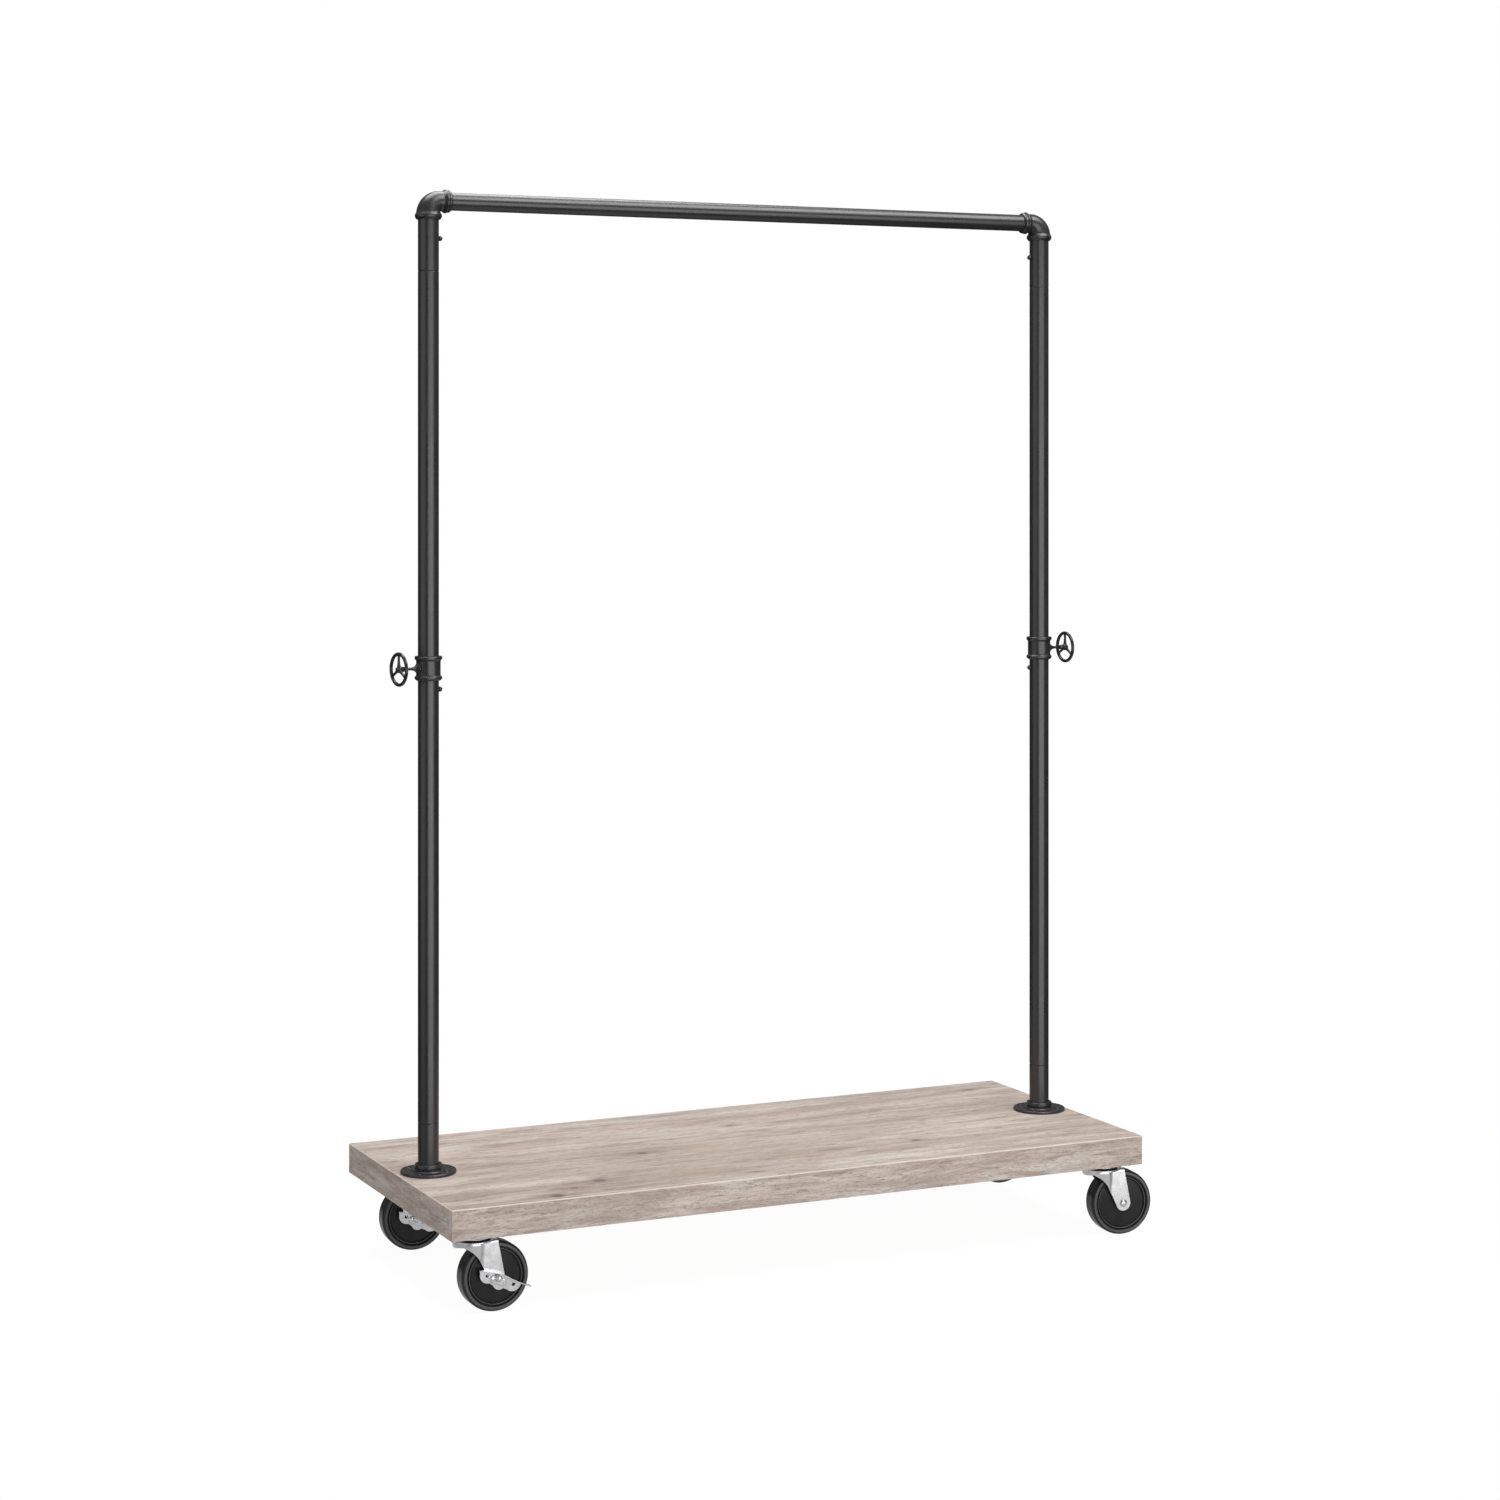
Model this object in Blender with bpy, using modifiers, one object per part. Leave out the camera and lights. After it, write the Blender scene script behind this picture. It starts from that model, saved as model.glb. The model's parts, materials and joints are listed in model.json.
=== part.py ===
"""Rolling garment rail: pipe posts and a hanging rail on a wood-look shelf with four swivel casters.

Units are metres, +Z is up, and the floor is at Z = 0.
"""
import math

import bmesh
import bpy
from mathutils import Matrix

# Clearances
GAP = 0.0003
RUNNING_GAP = 0.0005

# Shelf. The trailing wheels reach past its right end, so it sits a little left of the origin.
SHELF_LENGTH = 1.150
SHELF_DEPTH = 0.477
SHELF_THICKNESS = 0.045
SHELF_CENTRE_X = -0.012
EDGE_BAND = 0.0010

# Casters
CASTER_HEIGHT = 0.115
CASTER_LEFT_X = -0.539
CASTER_BACK_LEFT_X = -0.5315
CASTER_RIGHT_X = 0.515
FRONT_CASTER_Y = -0.194
BACK_CASTER_Y = 0.185
WHEEL_RADIUS = 0.051
WHEEL_HALF_WIDTH = 0.015
WHEEL_HUB_HALF = 0.0163
CASTER_TRAIL = 0.0295
AXLE_RADIUS = 0.0040
KINGPIN_RADIUS = 0.0050
CROWN_RADIUS = 0.0297
CROWN_BOTTOM = 0.1030
CROWN_TOP = 0.1060
SKIRT_BOTTOM = 0.0957
SKIRT_END_X = -0.0200
CASTER_PLATE = 0.0022
CASTER_PLATE_HALF_X = 0.0450
CASTER_PLATE_HALF_Y = 0.0335
RACE_RADIUS = 0.0250
LEG_INNER = 0.0168
LEG_THICKNESS = 0.0025
LEG_END_RADIUS = 0.0120
LEG_FRONT_X = -0.0210
LEG_REAR_X = 0.0308
AXLE_HEAD_RADIUS = 0.0058
# name: (kingpin X, kingpin Y, swivel angle at rest in degrees, has a brake)
CASTERS = {
    "front_left": (CASTER_LEFT_X, FRONT_CASTER_Y, 0.0, True),
    "front_right": (CASTER_RIGHT_X, FRONT_CASTER_Y, -7.0, False),
    "back_left": (CASTER_BACK_LEFT_X, BACK_CASTER_Y, -3.0, True),
    "back_right": (CASTER_RIGHT_X, BACK_CASTER_Y, 0.0, False),
}

# Brake lever
BRAKE_TILT = math.radians(-19.0)
BRAKE_PLATE = 0.0020
BRAKE_FLANGE = 0.0016
BRAKE_FLANGE_WIDTH = 0.0100
BRAKE_BOSS = 0.0045
BRAKE_BOSS_RADIUS = 0.0058
BRAKE_SLOT_HALF = 0.0022
BRAKE_SLOTS = {"left": (-0.0161, -0.0012), "right": (0.0270, -0.0037)}
BRAKE_STUD = 0.0030
NUT_RADIUS = 0.0055

# Posts. Heights are above the top of the shelf.
POST_HALF_SPACING = 0.5274
TUBE_RADIUS = 0.0157
TUBE_BORE = 0.0139
SPIGOT_RADIUS = 0.0136
SPIGOT_BORE = 0.0121
SPIGOT_LENGTH = 0.040
FLANGE_RADIUS = 0.0420
FLANGE_SCREW_CIRCLE = 0.0310
FLANGE_COLLAR_RADIUS = 0.0204
FLANGE_COLLAR_TOP = 0.0142
LOWER_SEAM = 0.0750
COUPLING_BOTTOM = 0.7375
COUPLING_TOP = 0.7740
COUPLING_BOLT = 0.7240
UPPER_SEAM = 1.3478
SLEEVE_BOLT = 1.3972
ELBOW_BOTTOM = 1.4250
RAIL_HEIGHT = 1.4530
RAIL_RADIUS = 0.0134
RAIL_BORE = 0.0119

# Elbow, coupling and handwheel
ELBOW_BEND = 0.0180
ELBOW_REACH = 0.0340
ELBOW_SOCKET = 0.0075
ELBOW_POST_BODY = 0.0184
ELBOW_RAIL_BODY = 0.0152
ELBOW_PASSAGE = 0.0110
ELBOW_END_INSET = 0.0020
COUPLING_RING_RADIUS = 0.0206
COUPLING_BODY_RADIUS = 0.0182
COUPLING_BEAD = 0.0062
COUPLING_EDGE = 0.0016
BOSS_REACH = 0.0270
STEM_BASE = 0.0203
STEM_RADIUS = 0.0019
STEM_CAP_RADIUS = 0.0034
HANDWHEEL_OFFSET = 0.0505
HANDWHEEL_RADIUS = 0.0236
HANDWHEEL_RIM = 0.0024
SPOKE_RADIUS = 0.0017
BOLT_HEAD_RADIUS = 0.0040
BOLT_HEAD_RISE = 0.0060
BOLT_SHANK_RADIUS = 0.0025
FLANGE_SCREW_HEAD = 0.0042
FLANGE_SCREW_SEAT = 0.0053
FLANGE_SCREW_SHANK = 0.0022
# side: (sign of X, turn of the coupling about the post in degrees, coupling's own shift in height)
POSTS = {"left": (-1, 11.0, -0.0017), "right": (1, 2.0, 0.0017)}

# Fineness of round shapes
WHEEL_STEPS = 28
TUBE_STEPS = 20
SMALL_STEPS = 10
SCREW_STEPS = 8

SHELF_BOTTOM = CASTER_HEIGHT
SHELF_TOP = CASTER_HEIGHT + SHELF_THICKNESS
LEG_OUTER = LEG_INNER + LEG_THICKNESS


# Scene and materials

def clear_scene():
    for scene_object in list(bpy.data.objects):
        bpy.data.objects.remove(scene_object, do_unlink=True)


def new_collection(name):
    collection = bpy.data.collections.new(name)
    bpy.context.scene.collection.children.link(collection)
    return collection


def principled(name, colour, roughness, metallic=0.0):
    material = bpy.data.materials.new(name)
    material.use_nodes = True
    shader = material.node_tree.nodes["Principled BSDF"]
    shader.inputs["Base Color"].default_value = (*colour, 1.0)
    shader.inputs["Roughness"].default_value = roughness
    shader.inputs["Metallic"].default_value = metallic
    material.diffuse_color = (*colour, 1.0)
    return material


# Modelling helpers

def add_object(name, data, material, parent=None):
    """Put new geometry in the parts collection, in its parent's frame."""
    made = bpy.data.objects.new(name, data)
    data.materials.append(material)
    PARTS.objects.link(made)
    made.parent = parent
    return made


def turned(name, profile, material, steps=TUBE_STEPS, parent=None, bored=True):
    """Turn (radius, height) pairs about local Z. A bored profile closes on itself."""
    mesh = bpy.data.meshes.new(name)
    edges = [(i, i + 1) for i in range(len(profile) - 1)]
    if bored:
        edges.append((len(profile) - 1, 0))
    mesh.from_pydata([(radius, 0.0, height) for radius, height in profile], edges, [])
    made = add_object(name, mesh, material, parent)
    screw = made.modifiers.new("turn", "SCREW")
    screw.axis = "Z"
    screw.steps = steps
    screw.render_steps = steps
    screw.use_merge_vertices = True
    screw.merge_threshold = 0.00001
    return made


def rod(name, radius, low, high, material, steps=SMALL_STEPS, parent=None):
    """A plain round bar along local Z."""
    profile = [(0.0, high), (radius, high), (radius, low), (0.0, low)]
    return turned(name, profile, material, steps, parent, bored=False)


def ring(name, outer, inner, low, high, material, steps=TUBE_STEPS, parent=None):
    """A plain round tube along local Z."""
    profile = [(outer, high), (outer, low), (inner, low), (inner, high)]
    return turned(name, profile, material, steps, parent)


def dome_head(radius, height, base, rise=3):
    """Profile points of a domed head, from its crown on the axis down to its rim."""
    arc = [math.radians(90.0 * i / rise) for i in range(rise + 1)]
    return [(radius * math.sin(a), base + height * math.cos(a)) for a in arc]


def box(name, low, high, material, parent=None):
    """A block between two corners."""
    mesh = bpy.data.meshes.new(name)
    shape = bmesh.new()
    bmesh.ops.create_cube(shape, size=1.0)
    size = [b - a for a, b in zip(low, high)]
    centre = [(a + b) / 2.0 for a, b in zip(low, high)]
    bmesh.ops.scale(shape, vec=size, verts=shape.verts)
    bmesh.ops.translate(shape, vec=centre, verts=shape.verts)
    shape.to_mesh(mesh)
    shape.free()
    return add_object(name, mesh, material, parent)


def as_mesh(curve_object):
    """Swap a curve object for the closed mesh that it makes."""
    bpy.context.view_layer.update()
    evaluated = curve_object.evaluated_get(bpy.context.evaluated_depsgraph_get())
    mesh = bpy.data.meshes.new_from_object(evaluated)
    shape = bmesh.new()
    shape.from_mesh(mesh)
    bmesh.ops.remove_doubles(shape, verts=shape.verts, dist=0.00001)
    bmesh.ops.recalc_face_normals(shape, faces=shape.faces)
    shape.to_mesh(mesh)
    shape.free()
    name = curve_object.name
    curve_object.name = name + "_curve"
    made = bpy.data.objects.new(name, mesh)
    PARTS.objects.link(made)
    made.parent = curve_object.parent
    made.location = curve_object.location
    made.rotation_euler = curve_object.rotation_euler
    bpy.data.objects.remove(curve_object, do_unlink=True)
    return made


def new_spline(name, points, cyclic, widths=None):
    """A line through points, with a width at each when a swept bar tapers."""
    curve = bpy.data.curves.new(name, "CURVE")
    spline = curve.splines.new("POLY")
    spline.points.add(len(points) - 1)
    for target, point in zip(spline.points, points):
        target.co = (*point, 1.0)
    for target, width in zip(spline.points, widths or []):
        target.radius = width
    spline.use_cyclic_u = cyclic
    return curve


def sheet(name, outline, near, far, material, parent=None):
    """A flat (x, z) outline made solid between two Y planes."""
    curve = new_spline(name, [(x, z, 0.0) for x, z in outline], True)
    curve.dimensions = "2D"
    curve.fill_mode = "BOTH"
    curve.extrude = (far - near) / 2.0
    made = add_object(name, curve, material, parent)
    made.location = (0.0, (near + far) / 2.0, 0.0)
    made.rotation_euler = (math.pi / 2.0, 0.0, 0.0)
    return as_mesh(made)


def pipe(name, points, radii, material, parent=None):
    """A round solid bar along a path, with its own radius at each point."""
    curve = new_spline(name, points, False, radii)
    curve.dimensions = "3D"
    curve.bevel_depth = 1.0
    curve.bevel_resolution = 3
    curve.use_fill_caps = True
    return as_mesh(add_object(name, curve, material, parent))


def combine(target, operand, operation):
    """Join or cut with another object, which then becomes a hidden guide."""
    modifier = target.modifiers.new(operand.name, "BOOLEAN")
    modifier.operation = operation
    modifier.object = operand
    PARTS.objects.unlink(operand)
    CUTTERS.objects.link(operand)
    operand.hide_render = True
    operand.display_type = "WIRE"


def join(target, *operands):
    for operand in operands:
        combine(target, operand, "UNION")


def cut(target, *operands):
    for operand in operands:
        combine(target, operand, "DIFFERENCE")


def pivot(name, location, turn=0.0):
    """An empty on a joint's or a post's axis, turned about Z."""
    empty = bpy.data.objects.new(name, None)
    PARTS.objects.link(empty)
    empty.location = location
    empty.rotation_euler = (0.0, 0.0, turn)
    return empty


def arc_points(centre, radius, start, end, steps):
    """Points on a circle between two angles in degrees."""
    angles = [math.radians(start + (end - start) * i / steps) for i in range(steps + 1)]
    return [(centre[0] + radius * math.cos(a), centre[1] + radius * math.sin(a)) for a in angles]


def bezier_points(a, b, c, d, steps):
    """Points on a cubic curve from a to d."""
    found = []
    for i in range(steps + 1):
        t = i / steps
        weights = ((1 - t) ** 3, 3 * t * (1 - t) ** 2, 3 * t * t * (1 - t), t ** 3)
        found.append(tuple(sum(w * p[k] for w, p in zip(weights, (a, b, c, d))) for k in (0, 1)))
    return found


# Shelf

def make_shelf():
    half_x = SHELF_LENGTH / 2.0
    half_y = SHELF_DEPTH / 2.0
    left = SHELF_CENTRE_X - half_x
    right = SHELF_CENTRE_X + half_x
    inset = EDGE_BAND + GAP
    low = (left + inset, -half_y + inset, SHELF_BOTTOM)
    high = (right - inset, half_y - inset, SHELF_TOP)
    board = box("shelf_board", low, high, LAMINATE)
    bands = {
        "front": ((left, -half_y), (right, -half_y + EDGE_BAND)),
        "back": ((left, half_y - EDGE_BAND), (right, half_y)),
        "left": ((left, low[1]), (left + EDGE_BAND, high[1])),
        "right": ((right - EDGE_BAND, low[1]), (right, high[1])),
    }
    for side, (near, far) in bands.items():
        box("edge_band_" + side, (*near, SHELF_BOTTOM), (*far, SHELF_TOP), LAMINATE)
    return board


# Posts

def flange_profile():
    """Cast flange: thin rim, raised web and a tall collar around the tube."""
    bore = TUBE_RADIUS + GAP
    return [
        (FLANGE_COLLAR_RADIUS, FLANGE_COLLAR_TOP),
        (FLANGE_COLLAR_RADIUS, 0.0075),
        (FLANGE_COLLAR_RADIUS + 0.0030, 0.0050),
        (FLANGE_RADIUS, 0.0040),
        (FLANGE_RADIUS, GAP),
        (bore, GAP),
        (bore, FLANGE_COLLAR_TOP),
    ]


def make_flange(side, post, board):
    """Floor flange with four screws into pilot holes in the shelf."""
    flange = turned("floor_flange_" + side, flange_profile(), PAINT, WHEEL_STEPS, post)
    for number in range(4):
        angle = math.radians(45.0 + 90.0 * number)
        spot = (FLANGE_SCREW_CIRCLE * math.cos(angle), FLANGE_SCREW_CIRCLE * math.sin(angle), 0.0)
        label = f"{side}_{number + 1}"
        head = dome_head(FLANGE_SCREW_HEAD, FLANGE_SCREW_SHANK, FLANGE_SCREW_SEAT)
        shank = [(FLANGE_SCREW_SHANK, FLANGE_SCREW_SEAT), (FLANGE_SCREW_SHANK, -0.0200), (0.0, -0.0220)]
        screw = turned("flange_screw_" + label, head + shank, FASTENER, SCREW_STEPS, post, bored=False)
        width = FLANGE_SCREW_SHANK + 0.0005
        hole = rod("flange_hole_" + label, width, -0.0235, 0.0100, PAINT, SCREW_STEPS, post)
        screw.location = spot
        hole.location = spot
        cut(flange, hole)
        pilot = board.modifiers.new("pilot_" + label, "BOOLEAN")
        pilot.operation = "DIFFERENCE"
        pilot.object = hole


def make_tubes(side, post):
    """The stub, the lower and upper tubes and the top sleeve, joined by reduced spigots."""
    shift = POSTS[side][2]
    middle = (COUPLING_BOTTOM + COUPLING_TOP) / 2.0 + shift
    stub = [
        (SPIGOT_RADIUS, LOWER_SEAM + SPIGOT_LENGTH),
        (SPIGOT_RADIUS, LOWER_SEAM),
        (TUBE_RADIUS, LOWER_SEAM),
        (TUBE_RADIUS, 0.0010),
        (SPIGOT_BORE, 0.0010),
        (SPIGOT_BORE, LOWER_SEAM + SPIGOT_LENGTH),
    ]
    turned("flange_stub_" + side, stub, PAINT, TUBE_STEPS, post)
    lower = ring("lower_tube_" + side, TUBE_RADIUS, TUBE_BORE, LOWER_SEAM + GAP, middle - GAP, PAINT,
                 parent=post)
    spigot_low = middle - 1.7 * SPIGOT_LENGTH
    spigot_high = UPPER_SEAM + 1.7 * SPIGOT_LENGTH
    upper = [
        (SPIGOT_RADIUS, spigot_high),
        (SPIGOT_RADIUS, UPPER_SEAM),
        (TUBE_RADIUS, UPPER_SEAM),
        (TUBE_RADIUS, middle),
        (SPIGOT_RADIUS, middle),
        (SPIGOT_RADIUS, spigot_low),
        (SPIGOT_BORE, spigot_low),
        (SPIGOT_BORE, spigot_high),
    ]
    upper_tube = turned("upper_tube_" + side, upper, PAINT, TUBE_STEPS, post)
    sleeve_top = ELBOW_BOTTOM + ELBOW_SOCKET - GAP
    sleeve = ring("top_sleeve_" + side, TUBE_RADIUS, TUBE_BORE, UPPER_SEAM + GAP, sleeve_top, PAINT,
                  parent=post)
    make_bolt("coupling_bolt_" + side, COUPLING_BOLT + shift, side, post, (lower, upper_tube))
    make_bolt("sleeve_bolt_" + side, SLEEVE_BOLT, side, post, (sleeve, upper_tube))


def make_bolt(name, height, side, post, tubes):
    """A ball-head bolt on the inner side of a post, through two tube walls."""
    inward = -POSTS[side][0]
    seat = TUBE_RADIUS + GAP
    tip = TUBE_BORE - 0.0042
    head = dome_head(BOLT_HEAD_RADIUS, BOLT_HEAD_RADIUS, seat + BOLT_HEAD_RISE - BOLT_HEAD_RADIUS)
    shank = [(BOLT_HEAD_RADIUS - 0.0006, seat), (BOLT_SHANK_RADIUS, seat), (BOLT_SHANK_RADIUS, tip), (0.0, tip)]
    bolt = turned(name, head + shank, FASTENER, SCREW_STEPS, post, bored=False)
    width = BOLT_SHANK_RADIUS + 0.0005
    hole = rod(name + "_hole", width, tip - 0.002, seat + 0.004, FASTENER, SCREW_STEPS, post)
    for piece in (bolt, hole):
        piece.location = (0.0, 0.0, height)
        piece.rotation_euler = (0.0, inward * math.pi / 2.0, 0.0)
    first, second = tubes
    cut(first, hole)
    inner = second.modifiers.new(name, "BOOLEAN")
    inner.operation = "DIFFERENCE"
    inner.object = hole


def coupling_profile():
    """Beaded coupling: a rounded ring at each end of a plain body, with a bore for the tubes."""
    bore = TUBE_RADIUS + GAP
    return [
        (COUPLING_RING_RADIUS - COUPLING_EDGE, COUPLING_TOP),
        (COUPLING_RING_RADIUS, COUPLING_TOP - COUPLING_EDGE),
        (COUPLING_RING_RADIUS, COUPLING_TOP - COUPLING_BEAD + COUPLING_EDGE),
        (COUPLING_BODY_RADIUS, COUPLING_TOP - COUPLING_BEAD),
        (COUPLING_BODY_RADIUS, COUPLING_BOTTOM + COUPLING_BEAD),
        (COUPLING_RING_RADIUS, COUPLING_BOTTOM + COUPLING_BEAD - COUPLING_EDGE),
        (COUPLING_RING_RADIUS, COUPLING_BOTTOM + COUPLING_EDGE),
        (COUPLING_RING_RADIUS - COUPLING_EDGE, COUPLING_BOTTOM),
        (bore, COUPLING_BOTTOM),
        (bore, COUPLING_TOP),
    ]


def make_coupling(side, post):
    """Coupling with its flared side boss, the stem and the handwheel."""
    sign, turn, shift = POSTS[side]
    coupling = turned("coupling_" + side, coupling_profile(), PAINT, TUBE_STEPS, post)
    coupling.location = (0.0, 0.0, shift)
    coupling.rotation_euler = (0.0, 0.0, math.radians(turn))
    location = post.location.copy()
    location.z += (COUPLING_BOTTOM + COUPLING_TOP) / 2.0 + shift
    stem_axis = pivot("stem_axis_" + side, location)
    stem_axis.rotation_euler = (0.0, sign * math.pi / 2.0, math.radians(turn))
    bore = STEM_RADIUS + GAP
    boss_profile = [
        (0.0029, BOSS_REACH),
        (0.0036, BOSS_REACH - 0.0040),
        (0.0058, BOSS_REACH - 0.0070),
        (0.0078, BOSS_REACH - 0.0095),
        (0.0, BOSS_REACH - 0.0095),
        (0.0, STEM_BASE - GAP),
        (bore, STEM_BASE - GAP),
        (bore, BOSS_REACH),
    ]
    boss = turned("coupling_boss_" + side, boss_profile, PAINT, SMALL_STEPS, stem_axis)
    join(coupling, boss)
    stem_end = HANDWHEEL_OFFSET + 0.0030
    stem = [
        (0.0, stem_end + 0.0022),
        (0.0022, stem_end + 0.0018),
        (STEM_CAP_RADIUS, stem_end + 0.0006),
        (STEM_CAP_RADIUS, stem_end - 0.0012),
        (STEM_RADIUS, stem_end - 0.0012),
        (STEM_RADIUS, STEM_BASE),
        (0.0, STEM_BASE),
    ]
    turned("valve_stem_" + side, stem, PAINT, SMALL_STEPS, stem_axis, bored=False)
    make_handwheel(side, stem_axis)


def make_handwheel(side, stem_axis):
    """Round rim, three spokes and a coned hub, turning on the stem. The first spoke points up."""
    rim = bpy.data.meshes.new("handwheel_" + side)
    shape = bmesh.new()
    section = bmesh.ops.create_circle(shape, segments=6, radius=HANDWHEEL_RIM)
    stand = Matrix.Translation((HANDWHEEL_RADIUS, 0.0, 0.0)) @ Matrix.Rotation(math.pi / 2.0, 4, "X")
    bmesh.ops.transform(shape, matrix=stand, verts=section["verts"])
    shape.to_mesh(rim)
    shape.free()
    wheel = add_object("handwheel_" + side, rim, PAINT, stem_axis)
    wheel.location = (0.0, 0.0, HANDWHEEL_OFFSET)
    screw = wheel.modifiers.new("turn", "SCREW")
    screw.axis = "Z"
    screw.steps = TUBE_STEPS
    screw.render_steps = TUBE_STEPS
    screw.use_merge_vertices = True
    screw.merge_threshold = 0.00001
    bore = STEM_RADIUS + GAP
    hub_profile = [(0.0052, 0.0015), (0.0052, -0.0018), (0.0032, -0.0110), (bore, -0.0110), (bore, 0.0015)]
    hub = turned("handwheel_hub_" + side, hub_profile, PAINT, SMALL_STEPS, stem_axis)
    hub.location = wheel.location
    up = -POSTS[side][0]
    for number in range(3):
        angle = 2.0 * math.pi * number / 3.0
        label = f"handwheel_spoke_{side}_{number + 1}"
        spoke = rod(label, SPOKE_RADIUS, 0.0035, HANDWHEEL_RADIUS, PAINT, 6, stem_axis)
        spoke.rotation_euler = (0.0, up * math.pi / 2.0, angle)
        spoke.location = wheel.location
        join(wheel, spoke)
    join(wheel, hub)


def post_bead_profile():
    """Rounded bead around the elbow's lower socket."""
    return [
        (0.0, ELBOW_BOTTOM + 0.0100),
        (0.0188, ELBOW_BOTTOM + 0.0100),
        (0.0203, ELBOW_BOTTOM + 0.0068),
        (0.0203, ELBOW_BOTTOM + 0.0034),
        (0.0174, ELBOW_BOTTOM),
        (0.0, ELBOW_BOTTOM),
    ]


def rail_bead_profile():
    """Sharp crest, groove and tapered ring around the elbow's rail socket, by distance from the post."""
    return [
        (0.0, ELBOW_REACH),
        (0.0152, ELBOW_REACH),
        (0.0168, ELBOW_REACH - 0.0022),
        (0.0168, ELBOW_REACH - 0.0044),
        (0.0160, ELBOW_REACH - 0.0055),
        (0.0179, ELBOW_REACH - 0.0066),
        (0.0179, ELBOW_REACH - 0.0080),
        (0.0146, ELBOW_REACH - 0.0140),
        (0.0, ELBOW_REACH - 0.0140),
    ]


def make_elbow(side, post):
    """Reducing quarter-bend elbow: it narrows from the post to the rail, with a bead at each socket."""
    inward = -POSTS[side][0]
    bend_low = RAIL_HEIGHT - ELBOW_BEND
    steps = 5
    bend = [
        (inward * (ELBOW_BEND - x), 0.0, bend_low + z)
        for x, z in arc_points((0.0, 0.0), ELBOW_BEND, 0.0, 90.0, steps)
    ]
    taper = (ELBOW_RAIL_BODY - ELBOW_POST_BODY) / steps
    radii = [ELBOW_POST_BODY + taper * i for i in range(steps + 1)]
    radii = [ELBOW_POST_BODY, *radii, ELBOW_RAIL_BODY]
    path = [
        (0.0, 0.0, ELBOW_BOTTOM + ELBOW_END_INSET),
        *bend,
        (inward * (ELBOW_REACH - ELBOW_END_INSET), 0.0, RAIL_HEIGHT),
    ]
    elbow = pipe("elbow_" + side, path, radii, PAINT, post)
    post_bead = turned("elbow_post_bead_" + side, post_bead_profile(), PAINT, TUBE_STEPS, post, bored=False)
    rail_bead = turned("elbow_rail_bead_" + side, rail_bead_profile(), PAINT, TUBE_STEPS, post, bored=False)
    post_socket = rod("elbow_post_socket_" + side, TUBE_RADIUS + GAP, ELBOW_BOTTOM - 0.005,
                      ELBOW_BOTTOM + ELBOW_SOCKET, PAINT, TUBE_STEPS, post)
    rail_socket = rod("elbow_rail_socket_" + side, RAIL_RADIUS + GAP, ELBOW_REACH - ELBOW_SOCKET,
                      ELBOW_REACH + 0.005, PAINT, TUBE_STEPS, post)
    for piece in (rail_bead, rail_socket):
        piece.location = (0.0, 0.0, RAIL_HEIGHT)
        piece.rotation_euler = (0.0, inward * math.pi / 2.0, 0.0)
    passage_path = [
        (0.0, 0.0, ELBOW_BOTTOM + 0.005),
        *bend,
        (inward * (ELBOW_REACH - 0.005), 0.0, RAIL_HEIGHT),
    ]
    passage = pipe("elbow_passage_" + side, passage_path, [ELBOW_PASSAGE] * len(passage_path), PAINT, post)
    join(elbow, post_bead, rail_bead)
    join(passage, post_socket, rail_socket)
    cut(elbow, passage)


def make_posts(board):
    for side, setting in POSTS.items():
        place = (SHELF_CENTRE_X + setting[0] * POST_HALF_SPACING, 0.0, SHELF_TOP)
        post = pivot("post_" + side, place)
        bpy.context.view_layer.update()
        make_flange(side, post, board)
        make_tubes(side, post)
        make_coupling(side, post)
        make_elbow(side, post)


def make_rail():
    reach = POST_HALF_SPACING - ELBOW_REACH + ELBOW_SOCKET - GAP
    rail = ring("hanging_rail", RAIL_RADIUS, RAIL_BORE, -reach, reach, PAINT)
    rail.location = (SHELF_CENTRE_X, 0.0, SHELF_TOP + RAIL_HEIGHT)
    rail.rotation_euler = (0.0, math.pi / 2.0, 0.0)


# Casters

def make_caster_plate(name, caster):
    """Rectangular top plate with the fixed race below it and a hole for the kingpin."""
    top = SHELF_BOTTOM - GAP
    low = (-CASTER_PLATE_HALF_X, -CASTER_PLATE_HALF_Y, top - CASTER_PLATE)
    high = (CASTER_PLATE_HALF_X, CASTER_PLATE_HALF_Y, top)
    plate = box("caster_plate_" + name, low, high, ZINC, caster)
    race = rod("race_" + name, RACE_RADIUS, CROWN_TOP + GAP, top - 0.001, ZINC, TUBE_STEPS, caster)
    hole = rod("kingpin_hole_" + name, KINGPIN_RADIUS + GAP, CROWN_TOP - 0.01, top + 0.01, ZINC, parent=caster)
    join(plate, race)
    cut(plate, hole)
    head = KINGPIN_RADIUS + 0.0025
    kingpin = [
        (0.0, top - GAP),
        (KINGPIN_RADIUS, top - GAP),
        (KINGPIN_RADIUS, CROWN_BOTTOM - GAP),
        (head, CROWN_BOTTOM - GAP),
        (head, CROWN_BOTTOM - 0.0025),
        (head - 0.0020, CROWN_BOTTOM - 0.0043),
        (0.0, CROWN_BOTTOM - 0.0043),
    ]
    turned("kingpin_" + name, kingpin, ZINC, SMALL_STEPS, caster, bored=False)


def leg_outline():
    """Side view of a fork leg: wide under the crown, curving in to a round end at the axle."""
    top = CROWN_TOP - 0.0002
    front = bezier_points((LEG_FRONT_X, 0.0980), (-0.0040, 0.0910), (0.0060, 0.0760), (0.0192, 0.0447), 5)
    end = arc_points((CASTER_TRAIL, WHEEL_RADIUS), LEG_END_RADIUS, -148.5, 11.6, 7)
    return [(LEG_FRONT_X, top), *front, *end, (LEG_REAR_X, top)]


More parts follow.
